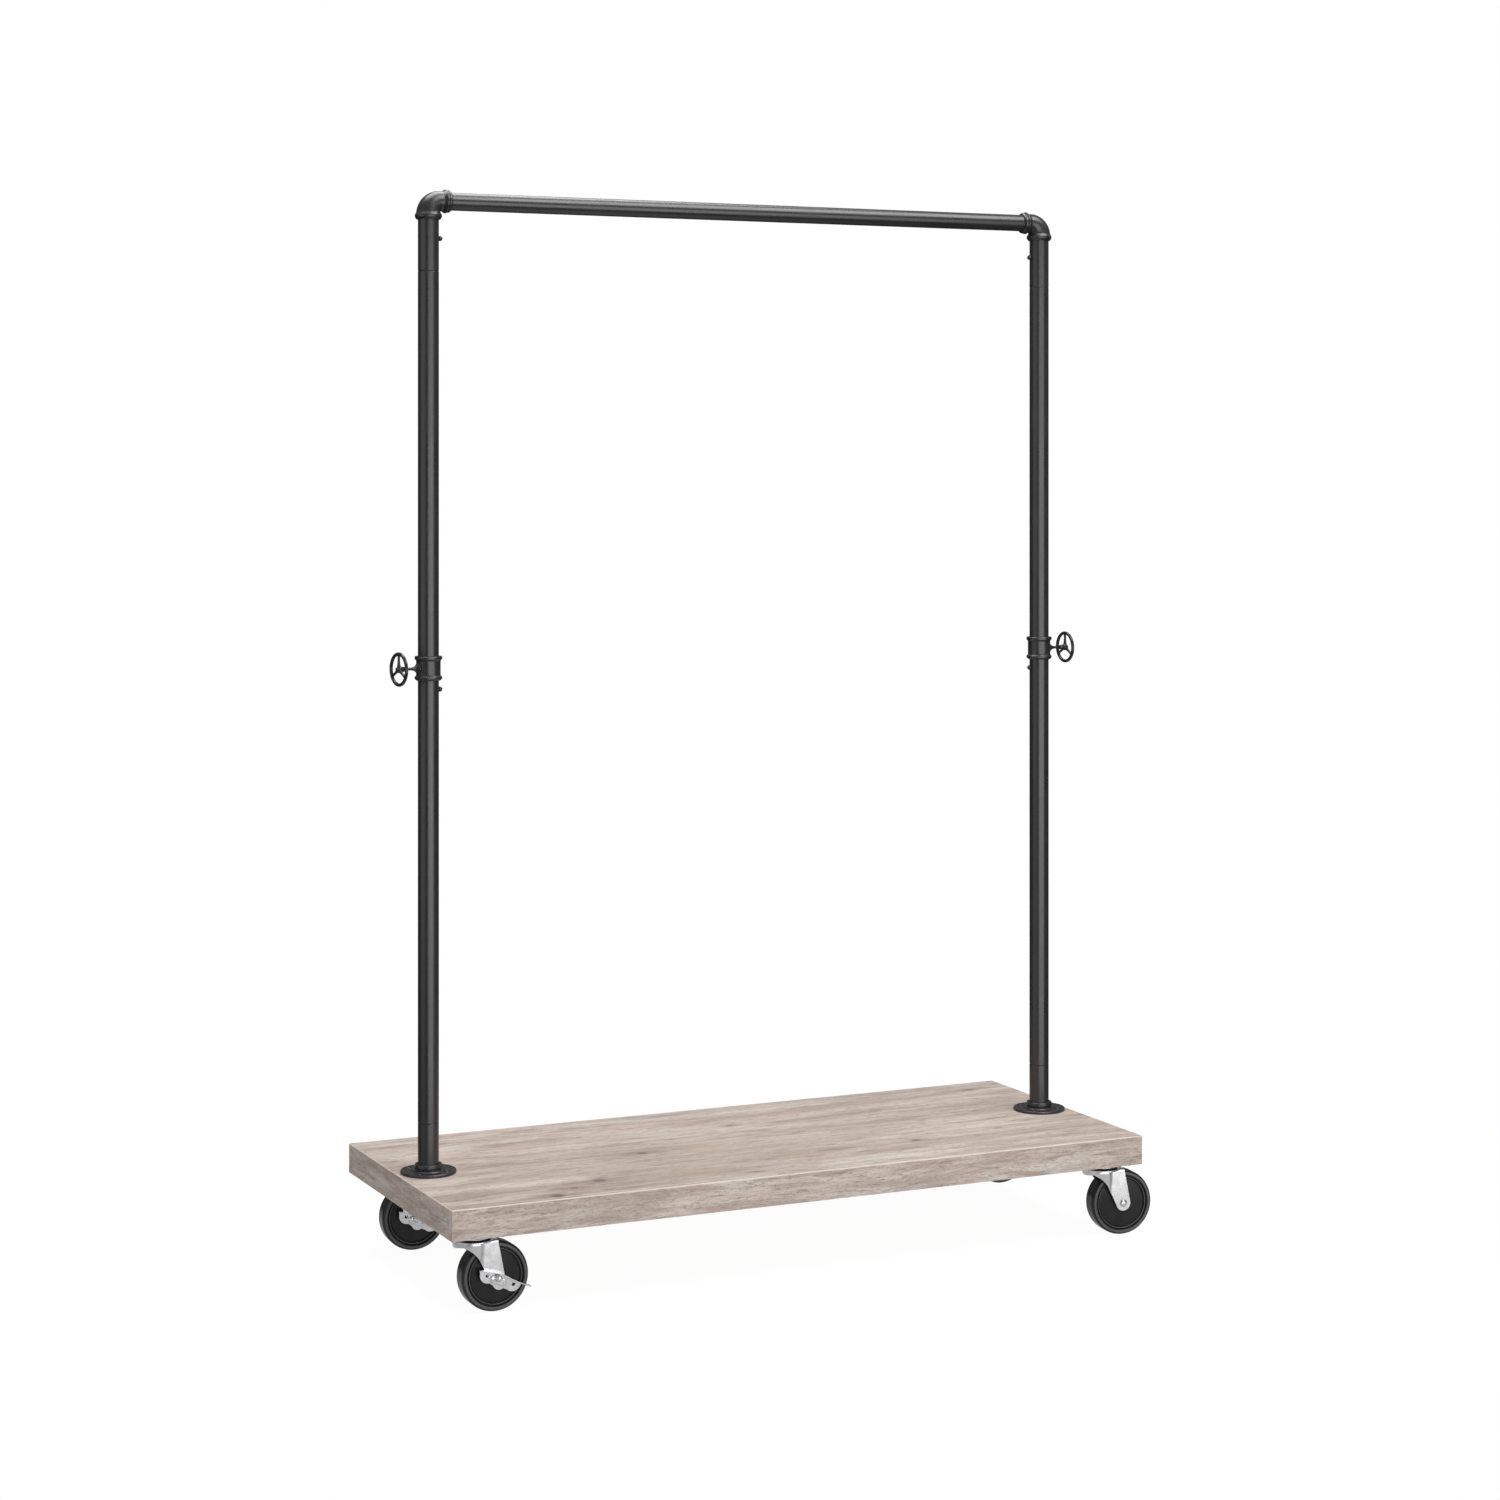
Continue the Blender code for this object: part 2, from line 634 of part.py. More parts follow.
def make_skirt(name, swivel):
    """Turned-down wall that closes the front of the crown between the two legs."""
    wall = [
        (CROWN_RADIUS - 0.0004, CROWN_BOTTOM + 0.0012),
        (CROWN_RADIUS - 0.0004, SKIRT_BOTTOM),
        (CROWN_RADIUS - LEG_THICKNESS, SKIRT_BOTTOM),
        (CROWN_RADIUS - LEG_THICKNESS, CROWN_BOTTOM + 0.0012),
    ]
    skirt = turned("skirt_" + name, wall, ZINC, WHEEL_STEPS, swivel)
    low = (SKIRT_END_X, -0.04, SKIRT_BOTTOM - 0.002)
    rear = box("skirt_rear_" + name, low, (0.04, 0.04, CROWN_TOP), ZINC, swivel)
    cut(skirt, rear)
    return skirt


def make_fork(name, swivel):
    """Stamped fork: round crown with a rounded rim, a front skirt, a saddle and two legs."""
    bore = KINGPIN_RADIUS + GAP
    edge = 0.0008
    crown = [
        (CROWN_RADIUS - edge, CROWN_TOP),
        (CROWN_RADIUS, CROWN_TOP - edge),
        (CROWN_RADIUS, CROWN_BOTTOM + edge),
        (CROWN_RADIUS - edge, CROWN_BOTTOM),
        (bore, CROWN_BOTTOM),
        (bore, CROWN_TOP),
    ]
    fork = turned("fork_" + name, crown, ZINC, WHEEL_STEPS, swivel)
    saddle = box("saddle_" + name, (0.0080, -LEG_OUTER, CROWN_BOTTOM + 0.0001),
                 (LEG_REAR_X - GAP, LEG_OUTER, CROWN_TOP - 0.0004), ZINC, swivel)
    join(fork, make_skirt(name, swivel), saddle)
    holes = []
    for side, sign in (("near", -1), ("far", 1)):
        low, high = sorted((sign * LEG_INNER, sign * LEG_OUTER))
        leg = sheet(f"leg_{side}_{name}", leg_outline(), low, high, ZINC, swivel)
        join(fork, leg)
        holes.append(axle_rod(f"axle_hole_{side}_{name}", AXLE_RADIUS + GAP, low - 0.004, high + 0.004, swivel))
    cut(fork, *holes)
    return fork


def axle_rod(name, radius, low, high, swivel):
    """A round bar on the axle's line between two Y planes of the caster."""
    bar = rod(name, radius, -high, -low, ZINC, SMALL_STEPS, swivel)
    bar.location = (CASTER_TRAIL, 0.0, WHEEL_RADIUS)
    bar.rotation_euler = (math.pi / 2.0, 0.0, 0.0)
    return bar


def make_axle(name, swivel, braked):
    """Axle with a domed head on the near side, or a plain end under the brake nut, and a far head."""
    head_base = LEG_OUTER + GAP
    far_end = [
        (AXLE_RADIUS, -head_base),
        (AXLE_HEAD_RADIUS, -head_base),
        (AXLE_HEAD_RADIUS, -head_base - 0.0020),
        (0.0045, -head_base - 0.0034),
        (0.0, -head_base - 0.0034),
    ]
    if braked:
        shoulder = LEG_OUTER + RUNNING_GAP + BRAKE_BOSS
        near_end = [(0.0, shoulder + 0.0035), (BRAKE_STUD, shoulder + 0.0035), (BRAKE_STUD, shoulder),
                    (AXLE_RADIUS, shoulder)]
    else:
        near_end = [*dome_head(AXLE_HEAD_RADIUS, 0.0036, head_base), (AXLE_RADIUS, head_base)]
    axle = turned("axle_" + name, near_end + far_end, ZINC, SMALL_STEPS, swivel, bored=False)
    axle.location = (CASTER_TRAIL, 0.0, WHEEL_RADIUS)
    axle.rotation_euler = (math.pi / 2.0, 0.0, 0.0)


def make_wheel(name, swivel):
    """One-piece wheel: rounded tread, raised rim lip, recessed disc and hub."""
    half = [
        (AXLE_RADIUS + GAP, WHEEL_HUB_HALF),
        (0.0110, WHEEL_HUB_HALF),
        (0.0120, 0.0115),
        (0.0400, 0.0115),
        (0.0415, WHEEL_HALF_WIDTH),
        (0.0470, WHEEL_HALF_WIDTH),
        (WHEEL_RADIUS, 0.0105),
    ]
    profile = half + [(radius, -height) for radius, height in reversed(half)]
    wheel = turned("wheel_" + name, profile, TREAD, WHEEL_STEPS, swivel)
    wheel.location = (CASTER_TRAIL, 0.0, WHEEL_RADIUS)
    wheel.rotation_euler = (math.pi / 2.0, 0.0, 0.0)


def ribbon(points, thickness):
    """Outline of a thin strip along a line of points."""
    above = []
    below = []
    for i, (x, z) in enumerate(points):
        before = points[max(i - 1, 0)]
        after = points[min(i + 1, len(points) - 1)]
        run = math.hypot(after[0] - before[0], after[1] - before[1])
        side = (-(after[1] - before[1]) / run, (after[0] - before[0]) / run)
        above.append((x + side[0] * thickness / 2.0, z + side[1] * thickness / 2.0))
        below.append((x - side[0] * thickness / 2.0, z - side[1] * thickness / 2.0))
    return above + below[::-1]


def pedal_line():
    """Edge view of the lever's top flange: level, a low hump over the axle, then the tongue."""
    rise = bezier_points((-0.0305, 0.0046), (-0.0180, 0.0050), (-0.0040, 0.0074), (0.0060, 0.0066), 4)
    fall = bezier_points((0.0060, 0.0066), (0.0150, 0.0050), (0.0240, 0.0012), (0.0518, 0.0004), 4)
    return rise + fall[1:]


def brake_outline():
    """Side plate of the lever: the flange line above and three round lobes below."""
    top = [point for point in pedal_line() if point[0] < 0.0375]
    right = arc_points((0.0248, -0.0010), 0.0132, 6.0, -115.0, 5)
    middle = arc_points((0.0050, -0.0064), 0.0102, -38.0, -142.0, 4)
    left = arc_points((-0.0155, 0.0005), 0.0126, -62.0, -172.0, 4)
    return top + right + middle + left


def make_brake(name, swivel):
    """Stamped side brake: plate, outward top flange, raised boss and two slots, on the axle."""
    near = -LEG_OUTER - RUNNING_GAP
    centre = pivot("brake_axis_" + name, (CASTER_TRAIL, 0.0, WHEEL_RADIUS))
    centre.parent = swivel
    centre.rotation_euler = (0.0, -BRAKE_TILT, 0.0)
    lever = sheet("brake_lever_" + name, brake_outline(), near - BRAKE_PLATE, near, ZINC, centre)
    flange = sheet("brake_flange_" + name, ribbon(pedal_line(), BRAKE_FLANGE),
                   near - BRAKE_FLANGE_WIDTH, near - 0.0002, ZINC, centre)
    boss_outline = (arc_points((0.0092, -0.0042), BRAKE_BOSS_RADIUS, -94.0, 86.0, 4)
                    + arc_points((-0.0062, -0.0030), BRAKE_BOSS_RADIUS, 86.0, 266.0, 4))
    boss = sheet("brake_boss_" + name, boss_outline, near - BRAKE_BOSS, near - 0.0010, ZINC, centre)
    join(lever, flange, boss)
    hole = rod("brake_hole_" + name, AXLE_RADIUS + GAP, -0.040, 0.040, ZINC, SMALL_STEPS, centre)
    hole.rotation_euler = (math.pi / 2.0, 0.0, 0.0)
    slots = []
    for side, (x, z) in BRAKE_SLOTS.items():
        low = (x - BRAKE_SLOT_HALF, -0.040, z - BRAKE_SLOT_HALF)
        high = (x + BRAKE_SLOT_HALF, 0.0, z + BRAKE_SLOT_HALF)
        slots.append(box(f"brake_slot_{side}_{name}", low, high, ZINC, centre))
    cut(lever, hole, *slots)
    make_brake_nut(name, swivel)


def make_brake_nut(name, swivel):
    """Six-sided cap nut on the stud that carries the lever."""
    low = LEG_OUTER + RUNNING_GAP + BRAKE_BOSS + GAP
    cap = [
        (0.0, low + 0.0055),
        (0.0034, low + 0.0048),
        (NUT_RADIUS, low + 0.0030),
        (NUT_RADIUS, low),
        (0.0, low),
    ]
    nut = turned("brake_nut_" + name, cap, ZINC, 6, swivel, bored=False)
    bore = rod("brake_nut_bore_" + name, BRAKE_STUD + GAP, low - 0.001, low + 0.0036, ZINC, SCREW_STEPS, swivel)
    for piece in (nut, bore):
        piece.location = (CASTER_TRAIL, 0.0, WHEEL_RADIUS)
        piece.rotation_euler = (math.pi / 2.0, 0.0, 0.0)
    cut(nut, bore)


def make_casters():
    for name, (kingpin_x, kingpin_y, angle, braked) in CASTERS.items():
        place = (kingpin_x, kingpin_y, 0.0)
        fixed = pivot("caster_mount_" + name, place)
        swivel = pivot("caster_swivel_" + name, place, math.radians(angle))
        make_caster_plate(name, fixed)
        make_fork(name, swivel)
        make_axle(name, swivel, braked)
        make_wheel(name, swivel)
        if braked:
            make_brake(name, swivel)


clear_scene()
PARTS = new_collection("garment_rail")
CUTTERS = new_collection("garment_rail_cutters")
LAMINATE = principled("wood_laminate", (0.52, 0.45, 0.40), 0.55)
PAINT = principled("dark_paint", (0.055, 0.056, 0.060), 0.45, 0.3)
FASTENER = principled("black_fastener", (0.03, 0.03, 0.032), 0.3, 0.6)
ZINC = principled("bright_zinc", (0.78, 0.79, 0.81), 0.22, 1.0)
TREAD = principled("wheel_black", (0.018, 0.018, 0.020), 0.35)
shelf = make_shelf()
make_posts(shelf)
make_rail()
make_casters()
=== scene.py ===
import json
import math

import bmesh
import bpy
from mathutils import Matrix, Vector

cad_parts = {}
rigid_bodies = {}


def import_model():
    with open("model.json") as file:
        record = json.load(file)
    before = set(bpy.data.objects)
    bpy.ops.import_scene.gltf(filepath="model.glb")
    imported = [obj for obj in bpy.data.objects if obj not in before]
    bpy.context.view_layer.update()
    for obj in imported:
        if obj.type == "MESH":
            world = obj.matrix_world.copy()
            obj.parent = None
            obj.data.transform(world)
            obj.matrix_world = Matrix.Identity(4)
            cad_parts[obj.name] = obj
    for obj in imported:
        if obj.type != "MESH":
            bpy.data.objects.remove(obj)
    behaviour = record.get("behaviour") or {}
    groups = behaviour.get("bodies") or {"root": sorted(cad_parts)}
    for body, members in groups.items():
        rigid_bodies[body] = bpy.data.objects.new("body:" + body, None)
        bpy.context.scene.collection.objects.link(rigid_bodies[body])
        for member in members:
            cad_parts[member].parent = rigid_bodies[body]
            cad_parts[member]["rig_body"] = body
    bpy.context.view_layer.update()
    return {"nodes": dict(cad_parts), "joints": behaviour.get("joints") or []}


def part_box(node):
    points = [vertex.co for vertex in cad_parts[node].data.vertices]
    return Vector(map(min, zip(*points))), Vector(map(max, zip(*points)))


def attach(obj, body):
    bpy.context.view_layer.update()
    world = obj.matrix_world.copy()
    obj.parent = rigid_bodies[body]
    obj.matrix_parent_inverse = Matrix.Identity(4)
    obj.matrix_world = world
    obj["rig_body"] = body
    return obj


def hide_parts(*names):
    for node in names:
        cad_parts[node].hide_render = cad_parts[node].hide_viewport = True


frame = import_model()

JOINTS = {joint["name"]: joint for joint in frame["joints"]}
SIDES = ("left", "right")
CASTERS = ("front_left", "front_right", "back_left", "back_right")
BRAKED = ("front_left", "back_left")

# Fineness of turned pieces
WHEEL_STEPS = 128
TUBE_STEPS = 80
SMALL_STEPS = 32

# Posts: clearance, tube end rounding, how far a tube's spigot and bore lie inside its outer radius,
# and the coupling's bead and body radii
GAP = 0.0003
TUBE_EDGE = 0.0009
SPIGOT_STEP = 0.0021
TUBE_WALL = 0.0036
FITTING_BEAD = 0.0206
FITTING_BODY = 0.0183

# Caster plate and its ball race
PLATE = 0.0022
PLATE_CORNER = 0.0070
PLATE_SCREW_X = 0.0360
PLATE_SCREW_Y = 0.0255
RACE_RADIUS = 0.0262
RACE_BOTTOM = 0.1064

# Sheet metal and fork
SHEET = 0.0025
LEG_OUTER = 0.0193
CROWN_RADIUS = 0.0297
CROWN_BOTTOM = 0.1030
CROWN_TOP = 0.1060
SKIRT_BOTTOM = 0.0957
TRAIL = 0.0295
AXLE_HEIGHT = 0.0510
LEG_END_RADIUS = 0.0120
LEG_REAR_TOP = 0.0308
SADDLE_BEND = 0.0030
SADDLE_HALF_GAP = 0.0040
CREASE_X = 0.0095
FLARE_END_X = 0.0015
FLARE_START_Z = 0.0600
PIN_HOLE = 0.0053

# Wheel, and the radii over which the painted highlight band on its raised rim comes in and goes out
WHEEL_RADIUS = 0.0510
WHEEL_HALF = 0.0150
HUB_HALF = 0.0163
BEAD_RADIUS = 0.0400
RIM_HIGHLIGHT_RADII = (0.0434, 0.0448, 0.0472, 0.0486)

# Brake lever
BRAKE_TILT = math.radians(19.0)
LEVER_PLANE = 0.0198
LEVER_SHEET = 0.0020
LEVER_FLANGE = 0.0095
LEVER_BOSS = 0.0050


# Frame helpers

def centre(node):
    low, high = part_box(node)
    return (low + high) / 2.0


def axes_matrix(origin, x_axis, z_axis):
    """Placement with given X and Z directions."""
    z_axis = Vector(z_axis).normalized()
    y_axis = z_axis.cross(Vector(x_axis)).normalized()
    x_axis = y_axis.cross(z_axis)
    turn = Matrix((x_axis, y_axis, z_axis)).transposed().to_4x4()
    return Matrix.Translation(origin) @ turn


def stand_for(piece, slot, *nodes):
    """The piece shows in place of these CAD nodes and moves with their body."""
    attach(piece, frame["nodes"][nodes[0]]["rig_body"])
    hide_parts(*nodes)
    return piece


def extra(piece, body):
    """A trim piece that the CAD leaves out."""
    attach(piece, body)
    return piece


# Outline and mesh helpers

def rounded(corners, steps=4, closed=True):
    """Outline through (x, y, radius) corners, each rounded by its own radius."""
    outline = []
    count = len(corners)
    for i, (x, y, radius) in enumerate(corners):
        here = Vector((x, y))
        if radius <= 0.0 or (not closed and i in (0, count - 1)):
            outline.append(here)
            continue
        back = Vector(corners[i - 1][:2]) - here
        ahead = Vector(corners[(i + 1) % count][:2]) - here
        half = back.angle(ahead) / 2.0
        reach = min(radius / math.tan(half), 0.49 * back.length, 0.49 * ahead.length)
        size = reach * math.tan(half)
        middle = here + (back.normalized() + ahead.normalized()).normalized() * size / math.sin(half)
        start = (here + back.normalized() * reach - middle).normalized()
        end = (here + ahead.normalized() * reach - middle).normalized()
        outline += [middle + start.slerp(end, k / steps) * size for k in range(steps + 1)]
    return outline


def arc_points(middle, radius, start, end, steps):
    angles = [math.radians(start + (end - start) * i / steps) for i in range(steps + 1)]
    return [(middle[0] + radius * math.cos(a), middle[1] + radius * math.sin(a)) for a in angles]


def bezier_points(a, b, c, d, steps):
    found = []
    for i in range(steps + 1):
        t = i / steps
        weights = ((1 - t) ** 3, 3 * t * (1 - t) ** 2, 3 * t * t * (1 - t), t ** 3)
        found.append(tuple(sum(w * p[k] for w, p in zip(weights, (a, b, c, d))) for k in (0, 1)))
    return found


def interpolate(x, points):
    """Value at x on a line through (x, value) points in rising x."""
    if x <= points[0][0]:
        return points[0][1]
    for (x0, v0), (x1, v1) in zip(points, points[1:]):
        if x <= x1:
            return v0 + (v1 - v0) * (x - x0) / (x1 - x0)
    return points[-1][1]


def smooth_step(t):
    t = min(max(t, 0.0), 1.0)
    return t * t * (3.0 - 2.0 * t)


def finish_mesh(name, shape, placement, material, sharp=38.0):
    """A new object from a bmesh, shaded smooth apart from real corners."""
    bmesh.ops.remove_doubles(shape, verts=shape.verts, dist=0.0000005)
    bmesh.ops.recalc_face_normals(shape, faces=shape.faces)
    mesh = bpy.data.meshes.new(name)
    shape.to_mesh(mesh)
    shape.free()
    mesh.shade_smooth()
    mesh.set_sharp_from_angle(angle=math.radians(sharp))
    mesh.materials.append(material)
    piece = bpy.data.objects.new(name, mesh)
    bpy.context.scene.collection.objects.link(piece)
    piece.matrix_world = placement
    return piece


def add_turned(shape, profile, steps, closed=True, local=None):
    """Turn (radius, height) points about Z into the bmesh, then move them by local."""
    ring = [shape.verts.new((point[0], 0.0, point[1])) for point in profile]
    edges = [shape.edges.new(pair) for pair in zip(ring, ring[1:])]
    if closed:
        edges.append(shape.edges.new((ring[-1], ring[0])))
    before = set(shape.verts) - set(ring)
    bmesh.ops.spin(shape, geom=ring + edges, axis=(0, 0, 1), cent=(0, 0, 0),
                   angle=2.0 * math.pi, steps=steps, use_merge=True)
    made = [vert for vert in shape.verts if vert not in before]
    if local is not None:
        bmesh.ops.transform(shape, matrix=local, verts=made)
    return made


def even_shading(piece):
    """Let the long faces set the shading, so that a small fillet does not tilt it."""
    weighted = piece.modifiers.new("shading", "WEIGHTED_NORMAL")
    weighted.keep_sharp = True
    weighted.weight = 60
    return piece


def turned(name, profile, placement, material, steps=TUBE_STEPS, closed=True, sharp=38.0):
    shape = bmesh.new()
    add_turned(shape, profile, steps, closed)
    return even_shading(finish_mesh(name, shape, placement, material, sharp))


def add_sweep(shape, path, radii, steps, local=None):
    """A round bar through points, with its own radius at each, and rounded into closed ends."""
    path = [Vector(point) for point in path]
    rings = []
    side = None
    for i, point in enumerate(path):
        ahead = (path[min(i + 1, len(path) - 1)] - path[max(i - 1, 0)]).normalized()
        if side is None:
            side = ahead.orthogonal().normalized()
        side = (side - ahead * side.dot(ahead)).normalized()
        up = ahead.cross(side)
        ring = []
        for k in range(steps):
            a = 2.0 * math.pi * k / steps
            ring.append(shape.verts.new(point + (side * math.cos(a) + up * math.sin(a)) * radii[i]))
        rings.append(ring)
    for first, second in zip(rings, rings[1:]):
        for k in range(steps):
            shape.faces.new((first[k], first[(k + 1) % steps], second[(k + 1) % steps], second[k]))
    shape.faces.new(rings[0][::-1])
    shape.faces.new(rings[-1])
    if local is not None:
        bmesh.ops.transform(shape, matrix=local, verts=[vert for ring in rings for vert in ring])


def add_plate(shape, outline, low, high, local=None):
    """A flat (x, y) outline made solid between two Z planes."""
    bottom = [shape.verts.new((point[0], point[1], low)) for point in outline]
    top = [shape.verts.new((point[0], point[1], high)) for point in outline]
    shape.faces.new(bottom[::-1])
    shape.faces.new(top)
    for i in range(len(outline)):
        j = (i + 1) % len(outline)
        shape.faces.new((bottom[i], bottom[j], top[j], top[i]))
    if local is not None:
        bmesh.ops.transform(shape, matrix=local, verts=bottom + top)


def add_block(shape, low, high):
    outline = [(low[0], low[1]), (high[0], low[1]), (high[0], high[1]), (low[0], high[1])]
    add_plate(shape, outline, low[2], high[2])


def add_bevel(piece, width, segments=2, angle=38.0):
    bevel = piece.modifiers.new("edges", "BEVEL")
    bevel.width = width
    bevel.segments = segments
    bevel.limit_method = "ANGLE"
    bevel.angle_limit = math.radians(angle)
    bevel.harden_normals = True
    return piece


def cut(piece, cutter):
    """Cut a hole with the cutter, then remove the cutter."""
    modifier = piece.modifiers.new(cutter.name, "BOOLEAN")
    modifier.operation = "DIFFERENCE"
    modifier.object = cutter
    bpy.context.view_layer.update()
    evaluated = piece.evaluated_get(bpy.context.evaluated_depsgraph_get())
    mesh = bpy.data.meshes.new_from_object(evaluated)
    piece.modifiers.clear()
    piece.data = mesh
    mesh.shade_smooth()
    mesh.set_sharp_from_angle(angle=math.radians(38.0))
    bpy.data.objects.remove(cutter, do_unlink=True)
    return piece


# Materials

class Look:
    """Short calls for one procedural material."""

    def __init__(self, name, roughness, metallic=0.0, specular=0.5):
        self.material = bpy.data.materials.new(name)
        self.material.use_nodes = True
        self.tree = self.material.node_tree
        self.shader = self.tree.nodes["Principled BSDF"]
        self.shader.inputs["Roughness"].default_value = roughness
        self.shader.inputs["Metallic"].default_value = metallic
        self.shader.inputs["Specular IOR Level"].default_value = specular
        self.coordinates = self.tree.nodes.new("ShaderNodeTexCoord").outputs["Object"]

    def fill(self, socket, value):
        if isinstance(value, bpy.types.NodeSocket):
            self.tree.links.new(value, socket)
        else:
            socket.default_value = value

    def node(self, kind, inputs, **settings):
        made = self.tree.nodes.new("ShaderNode" + kind)
        for key, value in settings.items():
            setattr(made, key, value)
        for key, value in inputs.items():
            self.fill(made.inputs[key], value)
        return made

    def stretch(self, vector, scale):
        return self.node("Mapping", {"Vector": vector, "Scale": scale}).outputs["Vector"]

    def noise(self, vector, scale, detail=3.0, rough=0.5, distortion=0.0):
        inputs = {
            "Vector": vector, "Scale": scale, "Detail": detail, "Roughness": rough, "Distortion": distortion}
        return self.node("TexNoise", inputs).outputs["Fac"]

    def remap(self, value, low, high, to_low=0.0, to_high=1.0):
        inputs = {"Value": value, "From Min": low, "From Max": high, "To Min": to_low, "To Max": to_high}
        return self.node("MapRange", inputs).outputs["Result"]

    def maths(self, operation, a, b):
        return self.node("Math", {0: a, 1: b}, operation=operation).outputs[0]

    def blend(self, factor, a, b, mode="MIX"):
        return self.node("Mix", {0: factor, 6: a, 7: b}, data_type="RGBA", blend_type=mode).outputs[2]

    def colour(self, value):
        self.fill(self.shader.inputs["Base Color"], value)

    def rough(self, value):
        self.fill(self.shader.inputs["Roughness"], value)

    def bump(self, height, distance, strength=1.0):
        inputs = {"Height": height, "Distance": distance, "Strength": strength}
        self.fill(self.shader.inputs["Normal"], self.node("Bump", inputs).outputs["Normal"])


def rgb(red, green, blue):
    return (red, green, blue, 1.0)


def paint_look(name, tone, roughness, cast):
    """Powder coat: fine orange peel, or the coarser skin of a casting, with soft tone changes."""
    look = Look(name, roughness, specular=0.64)
    cloud = look.noise(look.coordinates, 14.0, 4.0, 0.6)
    peel = look.noise(look.coordinates, 900.0, 2.0, 0.5)
    dark = rgb(*(0.86 * c for c in tone))
    light = rgb(*(1.14 * c for c in tone))
    look.colour(look.blend(look.remap(cloud, 0.3, 0.7), dark, light))
    look.rough(look.remap(cloud, 0.3, 0.7, roughness - 0.05, roughness + 0.06))
    if cast:
        skin = look.noise(look.coordinates, 420.0, 5.0, 0.65)
        look.bump(skin, 0.00035 * cast, 0.8)
    else:
        look.bump(peel, 0.00002, 0.6)
    return look.material


def gloss_look(name, tone, roughness):
    """Gloss black enamel with faint specks."""
    look = Look(name, roughness)
    specks = look.noise(look.coordinates, 1100.0, 3.0, 0.6)
    wear = look.noise(look.coordinates, 160.0, 4.0, 0.6)
    look.colour(look.blend(look.remap(wear, 0.35, 0.75), rgb(*tone), rgb(*(1.5 * c for c in tone))))
    look.rough(look.remap(specks, 0.3, 0.7, roughness - 0.05, roughness + 0.08))
    look.bump(specks, 0.00002, 0.5)
    return look.material


def zinc_look():
    """Bright zinc plate: faint rolling lines and cloudy patches."""
    look = Look("bright_zinc_plate", 0.24, 1.0)
    lines = look.noise(look.stretch(look.coordinates, (40.0, 40.0, 700.0)), 1.0, 2.0, 0.5)
    cloud = look.noise(look.coordinates, 70.0, 4.0, 0.6)
    look.colour(look.blend(look.remap(cloud, 0.3, 0.7), rgb(0.60, 0.60, 0.61), rgb(0.71, 0.71, 0.72)))
    streaky = look.maths("ADD", look.maths("MULTIPLY", lines, 0.2), cloud)
    look.rough(look.remap(streaky, 0.30, 0.90, 0.22, 0.32))
    look.bump(lines, 0.000003, 0.30)
    return look.material


def wheel_look():
    """Hard black wheel plastic with a faint mould haze and scuffs, a painted highlight band on the raised rim
    and a painted highlight line on the bead.
    """
    look = Look("wheel_plastic", 0.20, specular=0.24)
    haze = look.noise(look.coordinates, 45.0, 5.0, 0.65)
    scuffs = look.noise(look.stretch(look.coordinates, (300.0, 300.0, 60.0)), 1.0, 4.0, 0.7)
    plain = look.blend(look.remap(haze, 0.3, 0.75), rgb(0.012, 0.012, 0.012), rgb(0.018, 0.018, 0.0185))
    flat = look.stretch(look.coordinates, (1.0, 1.0, 0.0))
    distance = look.node("VectorMath", {0: flat}, operation="LENGTH").outputs["Value"]
    # painted highlight: a lighter band across the raised rim and a thin light line on the bead, mottled by the
    # haze
    inside = look.remap(distance, RIM_HIGHLIGHT_RADII[0], RIM_HIGHLIGHT_RADII[1])
    outside = look.remap(distance, RIM_HIGHLIGHT_RADII[3], RIM_HIGHLIGHT_RADII[2])
    from_bead = look.maths("ABSOLUTE", look.maths("SUBTRACT", distance, BEAD_RADIUS), 0.0)
    bead = look.remap(from_bead, 0.0008, 0.0003)
    band = look.maths("MAXIMUM", look.maths("MULTIPLY", inside, outside), bead)
    rim = look.maths("MULTIPLY", band, look.remap(haze, 0.2, 0.8, 0.6, 1.0))
    look.colour(look.blend(rim, plain, rgb(0.100, 0.100, 0.101)))
    look.rough(look.remap(look.maths("MULTIPLY", haze, scuffs), 0.12, 0.45, 0.16, 0.28))
    look.bump(scuffs, 0.00002, 0.4)
    return look.material


def shaded_race_look():
    """Ball race steel coloured near-black as painted shade under the plate, with mottled tone and roughness."""
    look = Look("race_painted_shade", 0.5, 0.6)
    race_mottle = look.noise(look.coordinates, 240.0, 4.0, 0.6)
    look.colour(look.blend(look.remap(race_mottle, 0.35, 0.7), rgb(0.006, 0.006, 0.006), rgb(0.020, 0.019, 0.018)))
    look.rough(look.remap(race_mottle, 0.3, 0.7, 0.42, 0.62))
    look.bump(race_mottle, 0.00003, 0.5)
    return look.material


def knot_masks(look, vector, knots):
    """Dark core and soft halo of oval knots, as two 0 to 1 sockets."""
    core = 0.0
    halo = 0.0
    for x, y, size in knots:
        moved = look.node("Mapping", {"Vector": vector, "Location": (-x, -y, 0.0)}).outputs["Vector"]
        spot = look.stretch(moved, (1.0 / size, 1.0 / size, 0.0))
        near = look.node("VectorMath", {0: spot}, operation="LENGTH").outputs["Value"]
        core = look.maths("MAXIMUM", core, look.remap(near, 1.0, 0.4))
        oval = look.stretch(moved, (0.24 / size, 0.7 / size, 0.0))
        wide = look.node("VectorMath", {0: oval}, operation="LENGTH").outputs["Value"]
        halo = look.maths("MAXIMUM", halo, look.remap(wide, 1.3, 0.4))
    return core, halo
